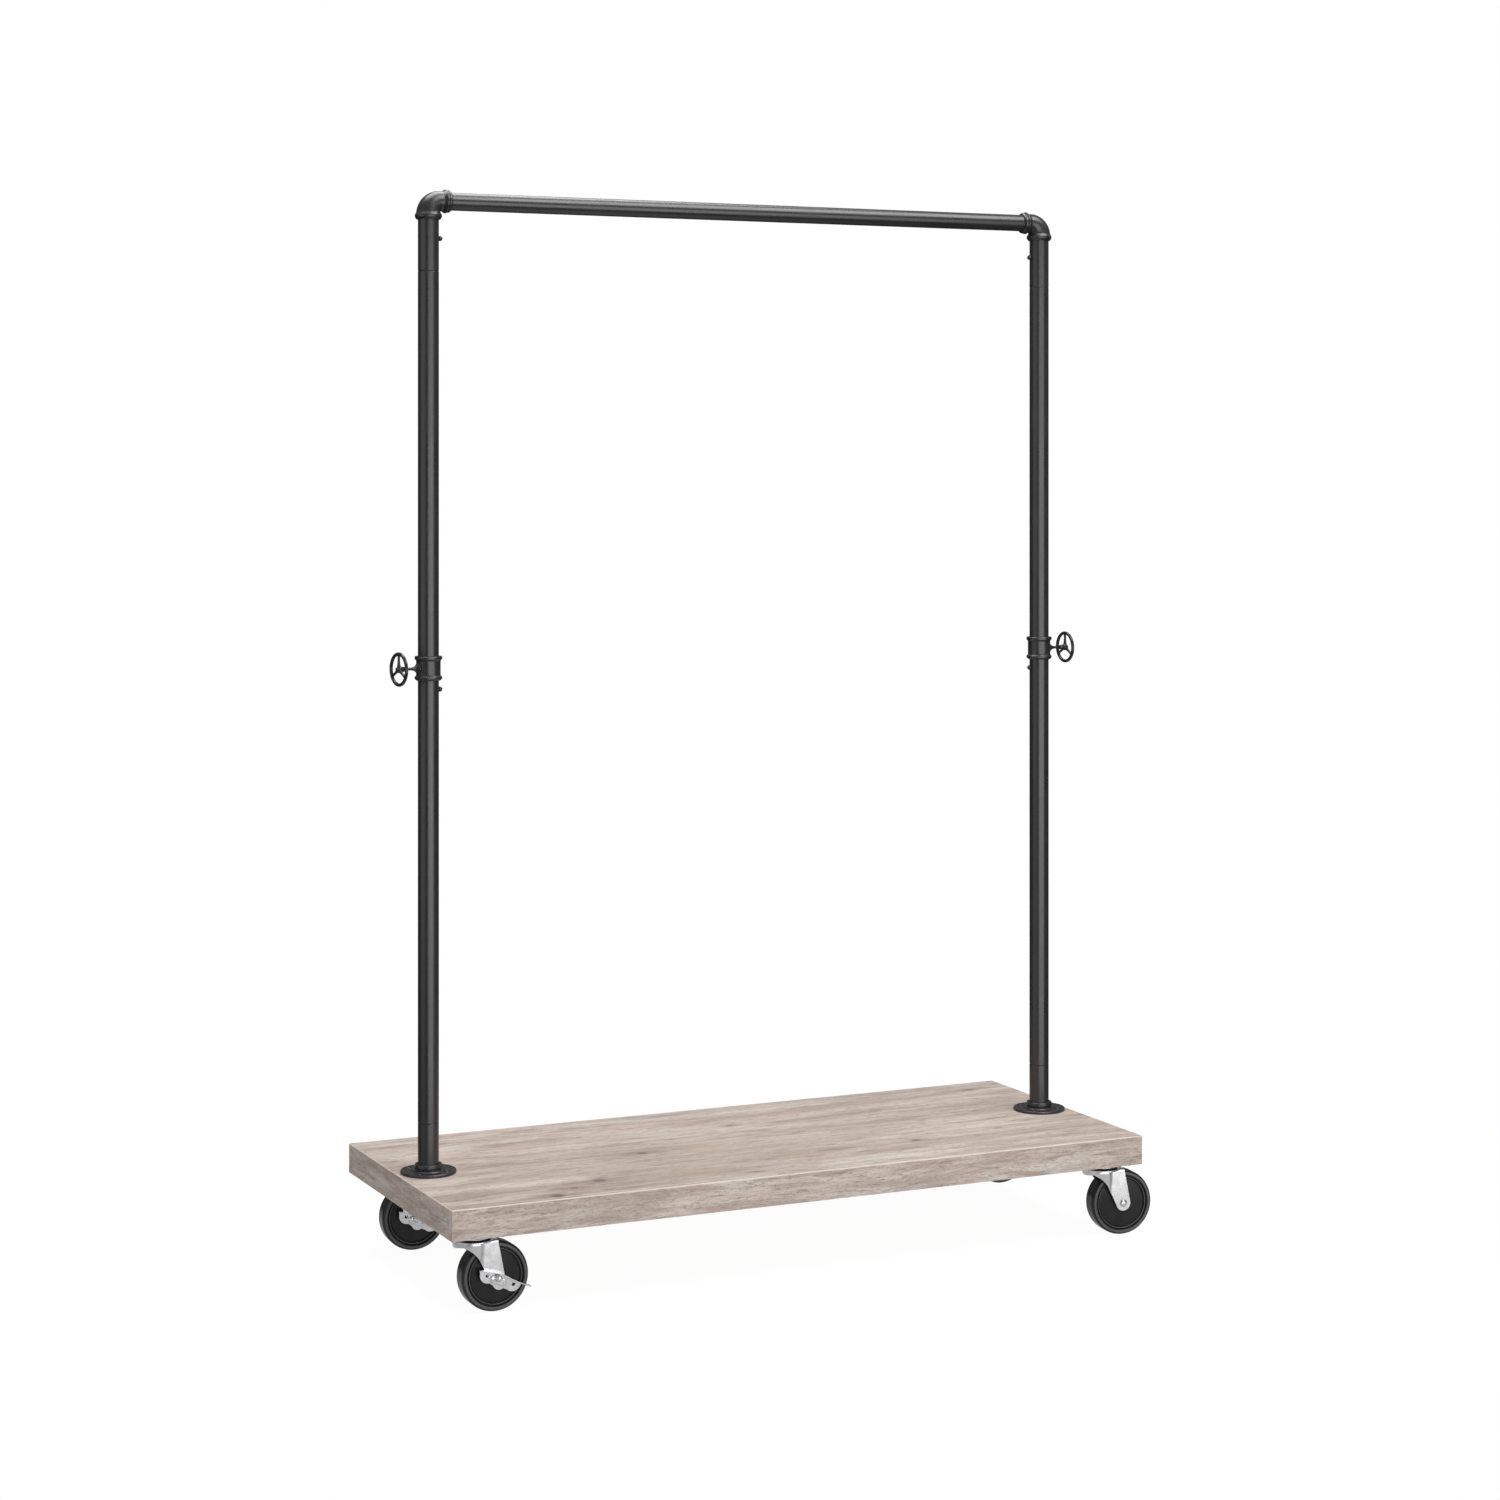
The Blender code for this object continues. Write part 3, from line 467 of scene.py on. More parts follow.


# Tones of the laminate, from its ground to the darkest flecks, and the painted highlight on its top arris
GREIGE = rgb(0.570, 0.515, 0.468)
ROSY = rgb(0.580, 0.492, 0.436)
BROWN = rgb(0.420, 0.345, 0.300)
PATCH = rgb(0.330, 0.268, 0.232)
STROKE = rgb(0.285, 0.225, 0.188)
PALE = rgb(0.690, 0.625, 0.560)
HAIRLINE = rgb(0.205, 0.158, 0.132)
PORE = rgb(0.150, 0.117, 0.098)
FLECK = rgb(0.165, 0.128, 0.105)
KNOT_RING = rgb(0.215, 0.170, 0.142)
KNOT_CORE = rgb(0.105, 0.082, 0.070)
# painted highlight: the pale line along the top arris of the edge bands and ends
EDGE_HIGHLIGHT = rgb(0.830, 0.735, 0.665)


def wood_look(name, across, painted_light_gain, mottled, hairy, patchy, highlight_top=None, knots=()):
    """Greige weathered-wood laminate.

    across stretches the pattern over X, Y and Z, and the grain runs along the axis where it is lowest.
    mottled, hairy and patchy say how strong the flecks, hairlines and dark patches are. The arris just
    under the given top height gets a pale painted highlight.
    """
    look = Look(name, 0.55, specular=0.3)
    warp_scale = tuple(2.5 + 0.18 * a for a in across)
    warp = look.noise(look.stretch(look.coordinates, warp_scale), 1.0, 3.0)
    push = look.node("VectorMath", {0: (0.03, 0.03, 0.03), "Scale": warp}, operation="SCALE").outputs[0]
    shift = look.node("VectorMath", {0: look.coordinates, 1: push}, operation="ADD").outputs[0]

    def layer(fineness, detail, rough, distortion=0.0):
        stretched = look.stretch(shift, tuple(a * fineness for a in across))
        return look.noise(stretched, 1.0, detail, rough, distortion)

    broad = layer(1.1, 6.0, 0.66, 0.8)
    hue = layer(0.9, 2.0, 0.5)
    patch = layer(0.75, 5.0, 0.68, 1.2)
    streak = layer(3.3, 9.0, 0.70, 0.7)
    hair = layer(15.0, 6.0, 0.74, 0.3)
    fine = layer(60.0, 3.0, 0.65)
    light = look.blend(look.remap(hue, 0.44, 0.58), GREIGE, ROSY)
    base = look.blend(look.remap(broad, 0.60, 0.42), light, BROWN)
    base = look.blend(look.remap(patch, 0.46, 0.36, 0.0, patchy), base, PATCH)
    stroked = look.blend(look.remap(streak, 0.48, 0.35, 0.0, 0.82), base, STROKE)
    lifted = look.blend(look.remap(streak, 0.55, 0.70, 0.0, 0.50), stroked, PALE)
    lined = look.blend(look.remap(hair, 0.46, 0.34, 0.0, hairy), lifted, HAIRLINE)
    grained = look.blend(look.remap(fine, 0.58, 0.36, 0.0, 0.30), lined, PORE)
    spots = look.noise(look.stretch(shift, tuple(26.0 + 10.0 * a for a in across)), 1.0, 5.0, 0.78, 0.3)
    flecked = look.blend(look.remap(spots, 0.56, 0.68, 0.0, mottled), grained, FLECK)
    if knots:
        core, halo = knot_masks(look, shift, knots)
        ringed = look.maths("MULTIPLY", halo, look.remap(hair, 0.60, 0.40, 0.25, 1.0))
        flecked = look.blend(look.maths("MULTIPLY", ringed, 0.75), flecked, KNOT_RING)
        broken = look.maths("MULTIPLY", core, look.remap(streak, 0.60, 0.40, 0.35, 0.85))
        flecked = look.blend(broken, flecked, KNOT_CORE)
    # painted highlight: a pale line just under the top edge
    if highlight_top is not None:
        height = look.node("SeparateXYZ", {0: look.coordinates}).outputs["Z"]
        edge_highlight = look.remap(height, highlight_top - 0.0019, highlight_top - 0.0012, 0.0, 0.62)
        flecked = look.blend(edge_highlight, flecked, EDGE_HIGHLIGHT)
    # painted light: the whole colour is scaled by this face's gain
    look.colour(look.blend(1.0, flecked, rgb(painted_light_gain, painted_light_gain, painted_light_gain), "MULTIPLY"))
    look.rough(look.remap(streak, 0.3, 0.7, 0.62, 0.50))
    look.bump(look.maths("ADD", look.maths("MULTIPLY", hair, 0.7), fine), 0.00010, 0.5)
    return look.material


BOARD_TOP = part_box("shelf_board")[1].z
# x, y and core radius of each knot on the top of the board
KNOTS = ((-0.185, -0.005, 0.011), (-0.31, -0.14, 0.013), (-0.40, -0.20, 0.014), (0.24, -0.10, 0.009),
         (0.50, 0.20, 0.008), (-0.36, -0.165, 0.008), (0.02, 0.12, 0.006), (-0.08, -0.19, 0.006))
# Each face has its own painted light gain: the end faces are painted lighter to stand in for fill light, while
# top and front bands are barely changed.
LAMINATE_TOP = wood_look("laminate_top", (1.5, 14.0, 14.0), 1.04, 0.75, 0.75, 0.70, knots=KNOTS)
LAMINATE_EDGE = wood_look("laminate_edge", (5.0, 38.0, 46.0), 1.02, 1.0, 1.0, 0.25, BOARD_TOP)
LAMINATE_END = wood_look("laminate_end", (38.0, 5.0, 46.0), 1.18, 1.0, 1.0, 0.70, BOARD_TOP)
PAINT = paint_look("satin_charcoal", (0.017, 0.017, 0.0175), 0.30, 0.0)
CAST_PAINT = paint_look("cast_charcoal", (0.015, 0.015, 0.0155), 0.29, 0.55)
BLACK_GLOSS = gloss_look("gloss_black", (0.013, 0.013, 0.014), 0.15)
ZINC = zinc_look()
WHEEL_BLACK = wheel_look()
RACE_PAINTED_SHADE = shaded_race_look()


# Shelf

def make_shelf():
    low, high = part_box("shelf_board")
    front_low, front_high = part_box("edge_band_front")
    _, back_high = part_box("edge_band_back")
    left_low, left_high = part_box("edge_band_left")
    right_low, right_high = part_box("edge_band_right")
    band = front_high.y - front_low.y
    pieces = {
        "board": ((left_high.x, front_high.y, low.z), (right_low.x, back_high.y - band, high.z), LAMINATE_TOP),
        "front": (front_low, front_high, LAMINATE_EDGE),
        "back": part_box("edge_band_back") + (LAMINATE_EDGE,),
        "left": ((left_low.x, front_high.y, low.z), (left_high.x, back_high.y - band, high.z), LAMINATE_END),
        "right": ((right_low.x, front_high.y, low.z), (right_high.x, back_high.y - band, high.z), LAMINATE_END),
    }
    for name, (block_low, block_high, material) in pieces.items():
        node = "shelf_board" if name == "board" else "edge_band_" + name
        shape = bmesh.new()
        add_block(shape, block_low, block_high)
        piece = finish_mesh(node + "_fine", shape, Matrix.Identity(4), material)
        add_bevel(piece, 0.00015 if name == "board" else 0.00045, 3)
        stand_for(piece, "wood_laminate", node)


# Posts

def post_frame(side, height):
    """Placement on a post's axis at a world height."""
    middle = centre("lower_tube_" + side)
    return Matrix.Translation((middle.x, middle.y, height))


def make_tube(node, outer, inner, side):
    low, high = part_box(node)
    length = high.z - low.z
    profile = rounded([
        (outer, length, TUBE_EDGE), (outer, 0.0, TUBE_EDGE), (inner, 0.0, 0.0), (inner, length, 0.0)])
    return stand_for(turned(node + "_fine", profile, post_frame(side, low.z), PAINT), "dark_paint", node)


def make_posts():
    for side in SIDES:
        tube = (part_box("lower_tube_" + side)[1].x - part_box("lower_tube_" + side)[0].x) / 2.0
        spigot = tube - SPIGOT_STEP
        bore = tube - TUBE_WALL
        make_tube("lower_tube_" + side, tube, spigot, side)
        make_tube("top_sleeve_" + side, tube, spigot, side)
        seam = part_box("lower_tube_" + side)[0].z - GAP
        stub_low, stub_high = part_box("flange_stub_" + side)
        stub = rounded([
            (spigot, stub_high.z, 0.0), (spigot, seam, 0.0), (tube, seam, TUBE_EDGE), (tube, stub_low.z, 0.0),
            (bore, stub_low.z, 0.0), (bore, stub_high.z, 0.0)])
        stand_for(turned(f"flange_stub_{side}_fine", stub, post_frame(side, 0.0), PAINT), "dark_paint",
                  "flange_stub_" + side)
        upper_low, upper_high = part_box("upper_tube_" + side)
        upper_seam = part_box("top_sleeve_" + side)[0].z - GAP
        coupling_low, coupling_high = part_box("coupling_" + side)
        middle = (coupling_low.z + coupling_high.z) / 2.0
        upper = rounded([
            (spigot, upper_high.z, 0.0), (spigot, upper_seam, 0.0), (tube, upper_seam, TUBE_EDGE),
            (tube, middle, 0.0), (spigot, middle, 0.0), (spigot, upper_low.z, 0.0),
            (bore, upper_low.z, 0.0), (bore, upper_high.z, 0.0)])
        stand_for(turned(f"upper_tube_{side}_fine", upper, post_frame(side, 0.0), PAINT), "dark_paint",
                  "upper_tube_" + side)
        make_flange(side, tube)
        make_coupling(side, tube, coupling_low.z, coupling_high.z)
        make_elbow(side, tube)
        for bolt in ("coupling_bolt_", "sleeve_bolt_"):
            make_bolt(bolt + side, side, tube)


def make_flange(side, tube):
    """Cast floor flange: flat rim, raised ring, collar with a rounded lip, countersunk for its screws."""
    low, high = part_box("floor_flange_" + side)
    rim = (high.x - low.x) / 2.0
    collar = 0.0204
    top = high.z - BOARD_TOP
    profile = rounded([
        (collar, top, 0.0018), (collar + 0.0004, top - 0.0060, 0.0016),
        (collar - 0.0012, top - 0.0074, 0.0006), (collar + 0.0004, 0.0062, 0.0006),
        (0.0236, 0.0058, 0.0008), (0.0254, 0.0060, 0.0008), (0.0264, 0.0045, 0.0006),
        (rim - 0.0042, 0.0040, 0.0004), (rim - 0.0036, 0.0046, 0.0004), (rim - 0.0008, 0.0044, 0.0007),
        (rim, 0.0034, 0.0008), (rim, GAP, 0.0), (tube + GAP, GAP, 0.0),
        (tube + GAP, top - 0.0012, 0.0), (tube + 0.0012, top, 0.0004)], 4)
    flange = turned(f"floor_flange_{side}_fine", profile, post_frame(side, BOARD_TOP), CAST_PAINT, 112)
    for number in range(4):
        screw = f"flange_screw_{side}_{number + 1}"
        spot = centre(screw)
        shape = bmesh.new()
        sink = [(0.0, 0.0080), (0.0056, 0.0080), (0.0056, 0.0042), (0.0046, 0.0024), (0.0, 0.0024)]
        add_turned(shape, sink, 24, closed=False)
        place = Matrix.Translation((spot.x, spot.y, BOARD_TOP))
        cutter = finish_mesh("sink", shape, place, CAST_PAINT)
        cut(flange, cutter)
        seat = place @ Matrix.Translation((0.0, 0.0, 0.0026))
        make_screw(screw, seat @ Matrix.Rotation(0.6 + number, 4, "Z"))
    stand_for(flange, "dark_paint", "floor_flange_" + side)


def make_screw(node, placement):
    """Pan head with a cross recess."""
    radius = 0.0042
    dome = [(radius * math.sin(a), 0.0010 + 0.0016 * math.cos(a)) for a in (0.0, 0.4, 0.75, 1.05, 1.3, 1.5)]
    head = dome + [(radius, 0.0), (0.0020, 0.0), (0.0020, -0.0150), (0.0, -0.0180)]
    screw = turned(node + "_fine", head, placement, BLACK_GLOSS, SMALL_STEPS, closed=False)
    shape = bmesh.new()
    long_arm = 0.0023
    arm = 0.00045
    cross = [
        (long_arm, -arm), (long_arm, arm), (arm, arm), (arm, long_arm), (-arm, long_arm), (-arm, arm),
        (-long_arm, arm), (-long_arm, -arm), (-arm, -arm), (-arm, -long_arm), (arm, -long_arm), (arm, -arm)]
    add_plate(shape, cross, 0.0012, 0.0050)
    cut(screw, finish_mesh("recess", shape, placement, BLACK_GLOSS))
    stand_for(screw, "black_fastener", node)


def make_bolt(node, side, tube):
    """Ball-headed bolt on the inner side of a post."""
    low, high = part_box(node)
    inward = 1.0 if side == "left" else -1.0
    middle = centre(node)
    post = centre("lower_tube_" + side)
    placement = axes_matrix((post.x, post.y, middle.z), (0, 0, 1), (inward, 0, 0))
    radius = (high.z - low.z) / 2.0
    reach = max(abs(high.x - post.x), abs(low.x - post.x))
    base = tube + 0.0002
    middle_out = reach - radius
    ball = [(radius * math.sin(a), middle_out + radius * math.cos(a)) for a in (0.16 * i for i in range(14))]
    neck = ball[-1][0] - 0.0003
    profile = ball + [(neck, base), (0.0024, base), (0.0024, 0.0110), (0.0, 0.0110)]
    stand_for(turned(node + "_fine", profile, placement, BLACK_GLOSS, SMALL_STEPS, closed=False),
              "black_fastener", node)


def make_coupling(side, tube, low, high):
    """Cast coupling: flat-topped upper bead, rounded lower bead, and a flared boss on its outer side."""
    height = high - low
    bead = FITTING_BEAD
    body = FITTING_BODY
    bore = tube + GAP
    profile = rounded([
        (bead - 0.0008, height, 0.0005), (bead, height - 0.0009, 0.0008), (bead, height - 0.0044, 0.0010),
        (body + 0.0010, height - 0.0056, 0.0006), (body, height - 0.0070, 0.0014), (body, 0.0086, 0.0024),
        (body + 0.0006, 0.0070, 0.0016), (bead, 0.0056, 0.0016), (bead, 0.0026, 0.0020),
        (bead - 0.0026, 0.0, 0.0012), (bore, 0.0, 0.0003), (bore, height, 0.0003)], 5)
    shape = bmesh.new()
    add_turned(shape, profile, 96, local=Matrix.Translation((0.0, 0.0, -height / 2.0)))
    joint = JOINTS["handwheel_turn_" + side]
    outward = Vector(joint["axis"])
    boss = rounded([
        (0.0, 0.0282, 0.0), (0.0026, 0.0282, 0.0005), (0.0029, 0.0258, 0.0010), (0.0037, 0.0238, 0.0020),
        (0.0050, 0.0219, 0.0024), (0.0068, 0.0200, 0.0024), (0.0092, 0.0178, 0.0010), (0.0, 0.0150, 0.0)],
        5, closed=False)
    turn = axes_matrix((0, 0, 0), (0, 0, 1), outward)
    add_turned(shape, boss, 40, closed=False, local=turn)
    middle = (low + high) / 2.0
    coupling = finish_mesh(f"coupling_{side}_fine", shape, post_frame(side, middle), CAST_PAINT)
    stand_for(coupling, "dark_paint", "coupling_" + side)
    post = centre("lower_tube_" + side)
    place = axes_matrix((post.x, post.y, middle), (0, 0, 1), outward)
    make_stem(side, place, (Vector(joint["pos_m"]) - place.translation).length)
    make_handwheel(side, outward)


def make_stem(side, place, reach):
    """Thin spindle with a domed cap nut outside the handwheel."""
    stem = rounded([
        (0.0, reach + 0.0053, 0.0), (0.0018, reach + 0.0051, 0.0008), (0.0033, reach + 0.0040, 0.0009),
        (0.0034, reach + 0.0020, 0.0003), (0.0019, reach + 0.0020, 0.0), (0.0019, 0.0330, 0.0),
        (0.0022, 0.0326, 0.0002), (0.0022, 0.0310, 0.0002), (0.0019, 0.0306, 0.0), (0.0019, 0.0203, 0.0),
        (0.0, 0.0203, 0.0)], 3, closed=False)
    piece = turned(f"valve_stem_{side}_fine", stem, place, BLACK_GLOSS, SMALL_STEPS, closed=False)
    stand_for(piece, "dark_paint", "valve_stem_" + side)


def make_handwheel(side, outward):
    """Handwheel: round rim, three waisted spokes and a coned hub."""
    joint = JOINTS["handwheel_turn_" + side]
    low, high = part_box("handwheel_" + side)
    section = 0.0026
    major = min((high.z - low.z) / 2.0 - section, 0.0234)
    slimness = 0.86
    shape = bmesh.new()
    rim = [(major + section * math.cos(a), section * math.sin(a))
           for a in (2.0 * math.pi * i / 20 for i in range(20))]
    add_turned(shape, rim, 96)
    hub = rounded([
        (0.0021, 0.0019, 0.0), (0.0040, 0.0019, 0.0006), (0.0054, 0.0010, 0.0010), (0.0054, -0.0016, 0.0010),
        (0.0044, -0.0034, 0.0020), (0.0034, -0.0110, 0.0005), (0.0021, -0.0110, 0.0)], 4)
    add_turned(shape, hub, SMALL_STEPS)
    for number in range(3):
        angle = 2.0 * math.pi * number / 3.0
        stations = [0.0030, 0.0050, 0.0070, 0.0100, 0.0140, 0.0180, 0.0205, 0.0222, 0.0236]
        waist = [0.0036, 0.0033, 0.0029, 0.0025, 0.0023, 0.0023, 0.0025, 0.0028, 0.0029]
        path = [(r * math.cos(angle), r * math.sin(angle), 0.0) for r in stations]
        add_sweep(shape, path, [slimness * w for w in waist], 12)
    place = axes_matrix(joint["pos_m"], (0, 0, 1), outward)
    wheel = finish_mesh(f"handwheel_{side}_fine", shape, place, BLACK_GLOSS)
    stand_for(wheel, "dark_paint", "handwheel_" + side)


def make_elbow(side, tube):
    """Cast reducing elbow: bead and socket on the post, bead on the rail, and a short round bend."""
    low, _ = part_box("elbow_" + side)
    rail_z = centre("hanging_rail").z
    inward = 1.0 if side == "left" else -1.0
    bottom = low.z - rail_z
    reach = 0.0340
    bend = 0.0185
    wide = 0.0184
    slim = 0.0152
    shape = bmesh.new()
    steps = 18
    path = [(0.0, 0.0, bottom + 0.0080), (0.0, 0.0, -bend - 0.0005)]
    radii = [wide, wide]
    for i in range(steps + 1):
        a = math.pi / 2.0 * i / steps
        path.append((inward * bend * (1.0 - math.cos(a)), 0.0, -bend + bend * math.sin(a)))
        radii.append(wide + (slim - wide) * i / steps)
    path += [(inward * (bend + 0.0030), 0.0, 0.0), (inward * (reach - 0.0020), 0.0, 0.0)]
    radii += [slim, slim]
    add_sweep(shape, path, radii, 64)
    bead = 0.0203
    post_bead = rounded([
        (0.0179, bottom + 0.0116, 0.0), (0.0188, bottom + 0.0098, 0.0012), (bead, bottom + 0.0072, 0.0024),
        (bead, bottom + 0.0034, 0.0026), (0.0176, bottom, 0.0010), (tube + GAP, bottom, 0.0002),
        (tube + GAP, bottom + 0.0060, 0.0)], 5)
    add_turned(shape, post_bead, 96)
    rail_bead = rounded([
        (0.0146, 0.0195, 0.0), (0.0158, 0.0222, 0.0030), (0.0179, 0.0257, 0.0007), (0.0179, 0.0272, 0.0006),
        (0.0160, 0.0281, 0.0003), (0.0159, 0.0290, 0.0003), (0.0170, 0.0298, 0.0008),
        (0.0168, 0.0320, 0.0014), (0.0152, reach, 0.0006), (0.0137, reach, 0.0002),
        (0.0137, 0.0265, 0.0)], 5)
    turn = axes_matrix((0, 0, 0), (0, 0, 1), (inward, 0, 0))
    add_turned(shape, rail_bead, 96, local=turn)
    elbow = finish_mesh(f"elbow_{side}_fine", shape, post_frame(side, rail_z), CAST_PAINT, 50.0)
    stand_for(elbow, "dark_paint", "elbow_" + side)


def make_rail():
    low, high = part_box("hanging_rail")
    outer = (high.z - low.z) / 2.0
    inner = outer - 0.0015
    length = high.x - low.x
    profile = rounded([
        (outer, length, 0.0004), (outer, 0.0, 0.0004), (inner, 0.0, 0.0), (inner, length, 0.0)])
    place = axes_matrix((low.x, 0.0, centre("hanging_rail").z), (0, 0, 1), (1, 0, 0))
    stand_for(turned("hanging_rail_fine", profile, place, PAINT), "dark_paint", "hanging_rail")


# Casters

def caster_frame(name):
    """Placement at a kingpin on the floor, with X along the caster's trail."""
    swivel = Vector(JOINTS["caster_swivel_" + name]["pos_m"])
    roll = Vector(JOINTS["wheel_roll_" + name]["pos_m"])
    trail = Vector((roll.x - swivel.x, roll.y - swivel.y, 0.0))
    return axes_matrix((swivel.x, swivel.y, 0.0), trail, (0, 0, 1))


AXLE_LOCAL = Matrix.Translation((TRAIL, 0.0, AXLE_HEIGHT)) @ Matrix.Rotation(math.pi / 2.0, 4, "X")


def make_plate(name):
    """Rounded mounting plate, fixed race and four screws under the shelf."""
    low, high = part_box("caster_plate_" + name)
    swivel = Vector(JOINTS["caster_swivel_" + name]["pos_m"])
    place = Matrix.Translation((swivel.x, swivel.y, 0.0))
    half_x = (high.x - low.x) / 2.0
    half_y = (high.y - low.y) / 2.0
    corner = PLATE_CORNER
    outline = rounded([(-half_x, -half_y, corner), (half_x, -half_y, corner),
                       (half_x, half_y, corner), (-half_x, half_y, corner)], 6)
    shape = bmesh.new()
    add_plate(shape, outline, high.z - PLATE, high.z)
    plate = finish_mesh(f"caster_plate_{name}_fine", shape, place, ZINC)
    add_bevel(plate, 0.0005)
    stand_for(plate, "bright_zinc", "caster_plate_" + name)
    race = rounded([
        (PIN_HOLE, high.z - 0.0010, 0.0), (RACE_RADIUS, high.z - 0.0010, 0.0), (0.0250, 0.1100, 0.0010),
        (0.0250, RACE_BOTTOM, 0.0006), (PIN_HOLE, RACE_BOTTOM, 0.0)], 4)
    # the race takes the near-black painted shade of the gap under the plate
    shaded_race = turned(f"race_{name}", race, place, RACE_PAINTED_SHADE, 80)
    extra(shaded_race, "rack")
    bead = [(RACE_RADIUS + 0.0007 * math.cos(a), 0.1094 + 0.0007 * math.sin(a))
            for a in (math.pi / 5.0 * i for i in range(10))]
    extra(turned(f"race_bead_{name}", bead, place, ZINC, 96), "rack")
    heads = bmesh.new()
    for x in (-PLATE_SCREW_X, PLATE_SCREW_X):
        for y in (-PLATE_SCREW_Y, PLATE_SCREW_Y):
            base = high.z - PLATE
            profile = [(0.0, base - 0.0026), (0.0018, base - 0.0025), (0.0036, base - 0.0018),
                       (0.0045, base - 0.0006), (0.0046, base), (0.0, base)]
            add_turned(heads, profile, 20, closed=False, local=Matrix.Translation((x, y, 0.0)))
    screws = finish_mesh(f"plate_screws_{name}", heads, place, ZINC)
    extra(screws, "rack")
    pin = rounded([
        (0.0, high.z, 0.0), (0.0050, high.z, 0.0), (0.0050, CROWN_BOTTOM - GAP, 0.0),
        (0.0075, CROWN_BOTTOM - GAP, 0.0003), (0.0075, CROWN_BOTTOM - 0.0026, 0.0010),
        (0.0045, CROWN_BOTTOM - 0.0046, 0.0012), (0.0, CROWN_BOTTOM - 0.0046, 0.0)], 4, closed=False)
    kingpin = turned(f"kingpin_{name}_fine", pin, place, ZINC, SMALL_STEPS, closed=False)
    stand_for(kingpin, "bright_zinc", "kingpin_" + name)


def leg_edges():
    """(height, x) lines of a leg's front and rear edges, rising."""
    front = bezier_points((-0.0210, 0.0980), (-0.0040, 0.0910), (0.0060, 0.0760), (0.0192, 0.0447), 24)
    end = arc_points((TRAIL, AXLE_HEIGHT), LEG_END_RADIUS, -148.5, -90.0, 10)
    front_line = [(z, x) for x, z in reversed(front + end[1:])]
    rear_end = arc_points((TRAIL, AXLE_HEIGHT), LEG_END_RADIUS, -90.0, 11.6, 14)
    rear_line = [(z, x) for x, z in rear_end] + [(CROWN_TOP, LEG_REAR_TOP)]
    return front_line, rear_line


def leg_offset(x, z):
    """How far the pressed leg stands out from its flat plane: it flares into the round crown."""
    if x >= CREASE_X:
        return 0.0
    circle = math.sqrt(max(CROWN_RADIUS ** 2 - x * x, 0.0)) - LEG_OUTER
    across = smooth_step((CREASE_X - x) / (CREASE_X - FLARE_END_X))
    down = smooth_step((z - FLARE_START_Z) / (CROWN_BOTTOM - FLARE_START_Z))
    return max(circle, 0.0) * across * down


def add_leg(shape, side):
    """One leg as an open sheet: rows from the round end up to the bend into the saddle."""
    front_line, rear_line = leg_edges()
    columns = 26
    lowest = AXLE_HEIGHT - LEG_END_RADIUS
    heights = [AXLE_HEIGHT - LEG_END_RADIUS * math.cos(math.radians(4.0 + 82.0 * i / 12)) for i in range(13)]
    heights += [AXLE_HEIGHT + (CROWN_BOTTOM - 0.0005 - AXLE_HEIGHT) * i / 30 for i in range(1, 31)]
    rows = []
    for z in [lowest + 0.00002] + heights:
        x0 = interpolate(z, front_line)
        x1 = interpolate(z, rear_line)
        row = []
        for i in range(columns + 1):
            x = x0 + (x1 - x0) * i / columns
            row.append(shape.verts.new((x, side * (LEG_OUTER + leg_offset(x, z)), z)))
        rows.append(row)
    top = rows[-1]
    for i in range(1, 6):
        a = math.radians(90.0 * i / 5)
        rise = SADDLE_BEND * math.sin(a)
        inset = SADDLE_BEND * (1.0 - math.cos(a))
        step = Vector((0.0, -side * inset, rise))
        rows.append([shape.verts.new(vert.co + step) for vert in top])
    rows.append([shape.verts.new((vert.co.x, side * SADDLE_HALF_GAP, vert.co.z)) for vert in rows[-1]])
    for lower, upper in zip(rows, rows[1:]):
        for i in range(columns):
            corners = (lower[i], lower[i + 1], upper[i + 1], upper[i])
            shape.faces.new(corners if side < 0 else corners[::-1])


def sheet_piece(label, shape, place, body):
    """An open surface thickened inwards into pressed sheet with rounded edges."""
    mesh = bpy.data.meshes.new(label)
    shape.to_mesh(mesh)
    shape.free()
    mesh.shade_smooth()
    mesh.materials.append(ZINC)
    piece = bpy.data.objects.new(label, mesh)
    bpy.context.scene.collection.objects.link(piece)
    piece.matrix_world = place
    solid = piece.modifiers.new("sheet", "SOLIDIFY")
    solid.thickness = SHEET
    solid.offset = -1.0
    add_bevel(piece, 0.0006, 3, 50.0)
    extra(piece, body)


def make_skirt(name, place):
    """Turned-down front of the crown, lowest at the nose and running into the legs."""
    shape = bmesh.new()
    columns = 40
    spread = 47.0
    rows = []
    for level in range(9):
        row = []
        for i in range(columns + 1):
            turn = (2.0 * i / columns - 1.0) * spread
            low = SKIRT_BOTTOM + 0.0024 * smooth_step(abs(turn) / spread)
            z = low + (CROWN_TOP - 0.0016 - low) * level / 8
            a = math.radians(180.0 + turn)
            row.append(shape.verts.new((CROWN_RADIUS * math.cos(a), CROWN_RADIUS * math.sin(a), z)))
        rows.append(row)
    for lower, upper in zip(rows, rows[1:]):
        for i in range(columns):
            shape.faces.new((lower[i], lower[i + 1], upper[i + 1], upper[i]))
    sheet_piece("fork_skirt_" + name, shape, place, "swivel_" + name)


def make_fork(name):
    """Pressed fork: round crown with a rounded rim, a front skirt, and two legs that flare into it."""
    place = caster_frame(name)
    crown = rounded([
        (CROWN_RADIUS, CROWN_TOP, 0.0014), (CROWN_RADIUS, CROWN_BOTTOM, 0.0010),
        (PIN_HOLE, CROWN_BOTTOM, 0.0), (PIN_HOLE, CROWN_TOP, 0.0)], 6)
    stand_for(turned(f"fork_{name}_fine", crown, place, ZINC, 96), "bright_zinc", "fork_" + name)
    make_skirt(name, place)
    for label, side in (("near", -1.0), ("far", 1.0)):
        shape = bmesh.new()
        add_leg(shape, side)
        sheet_piece(f"fork_leg_{label}_{name}", shape, place, "swivel_" + name)


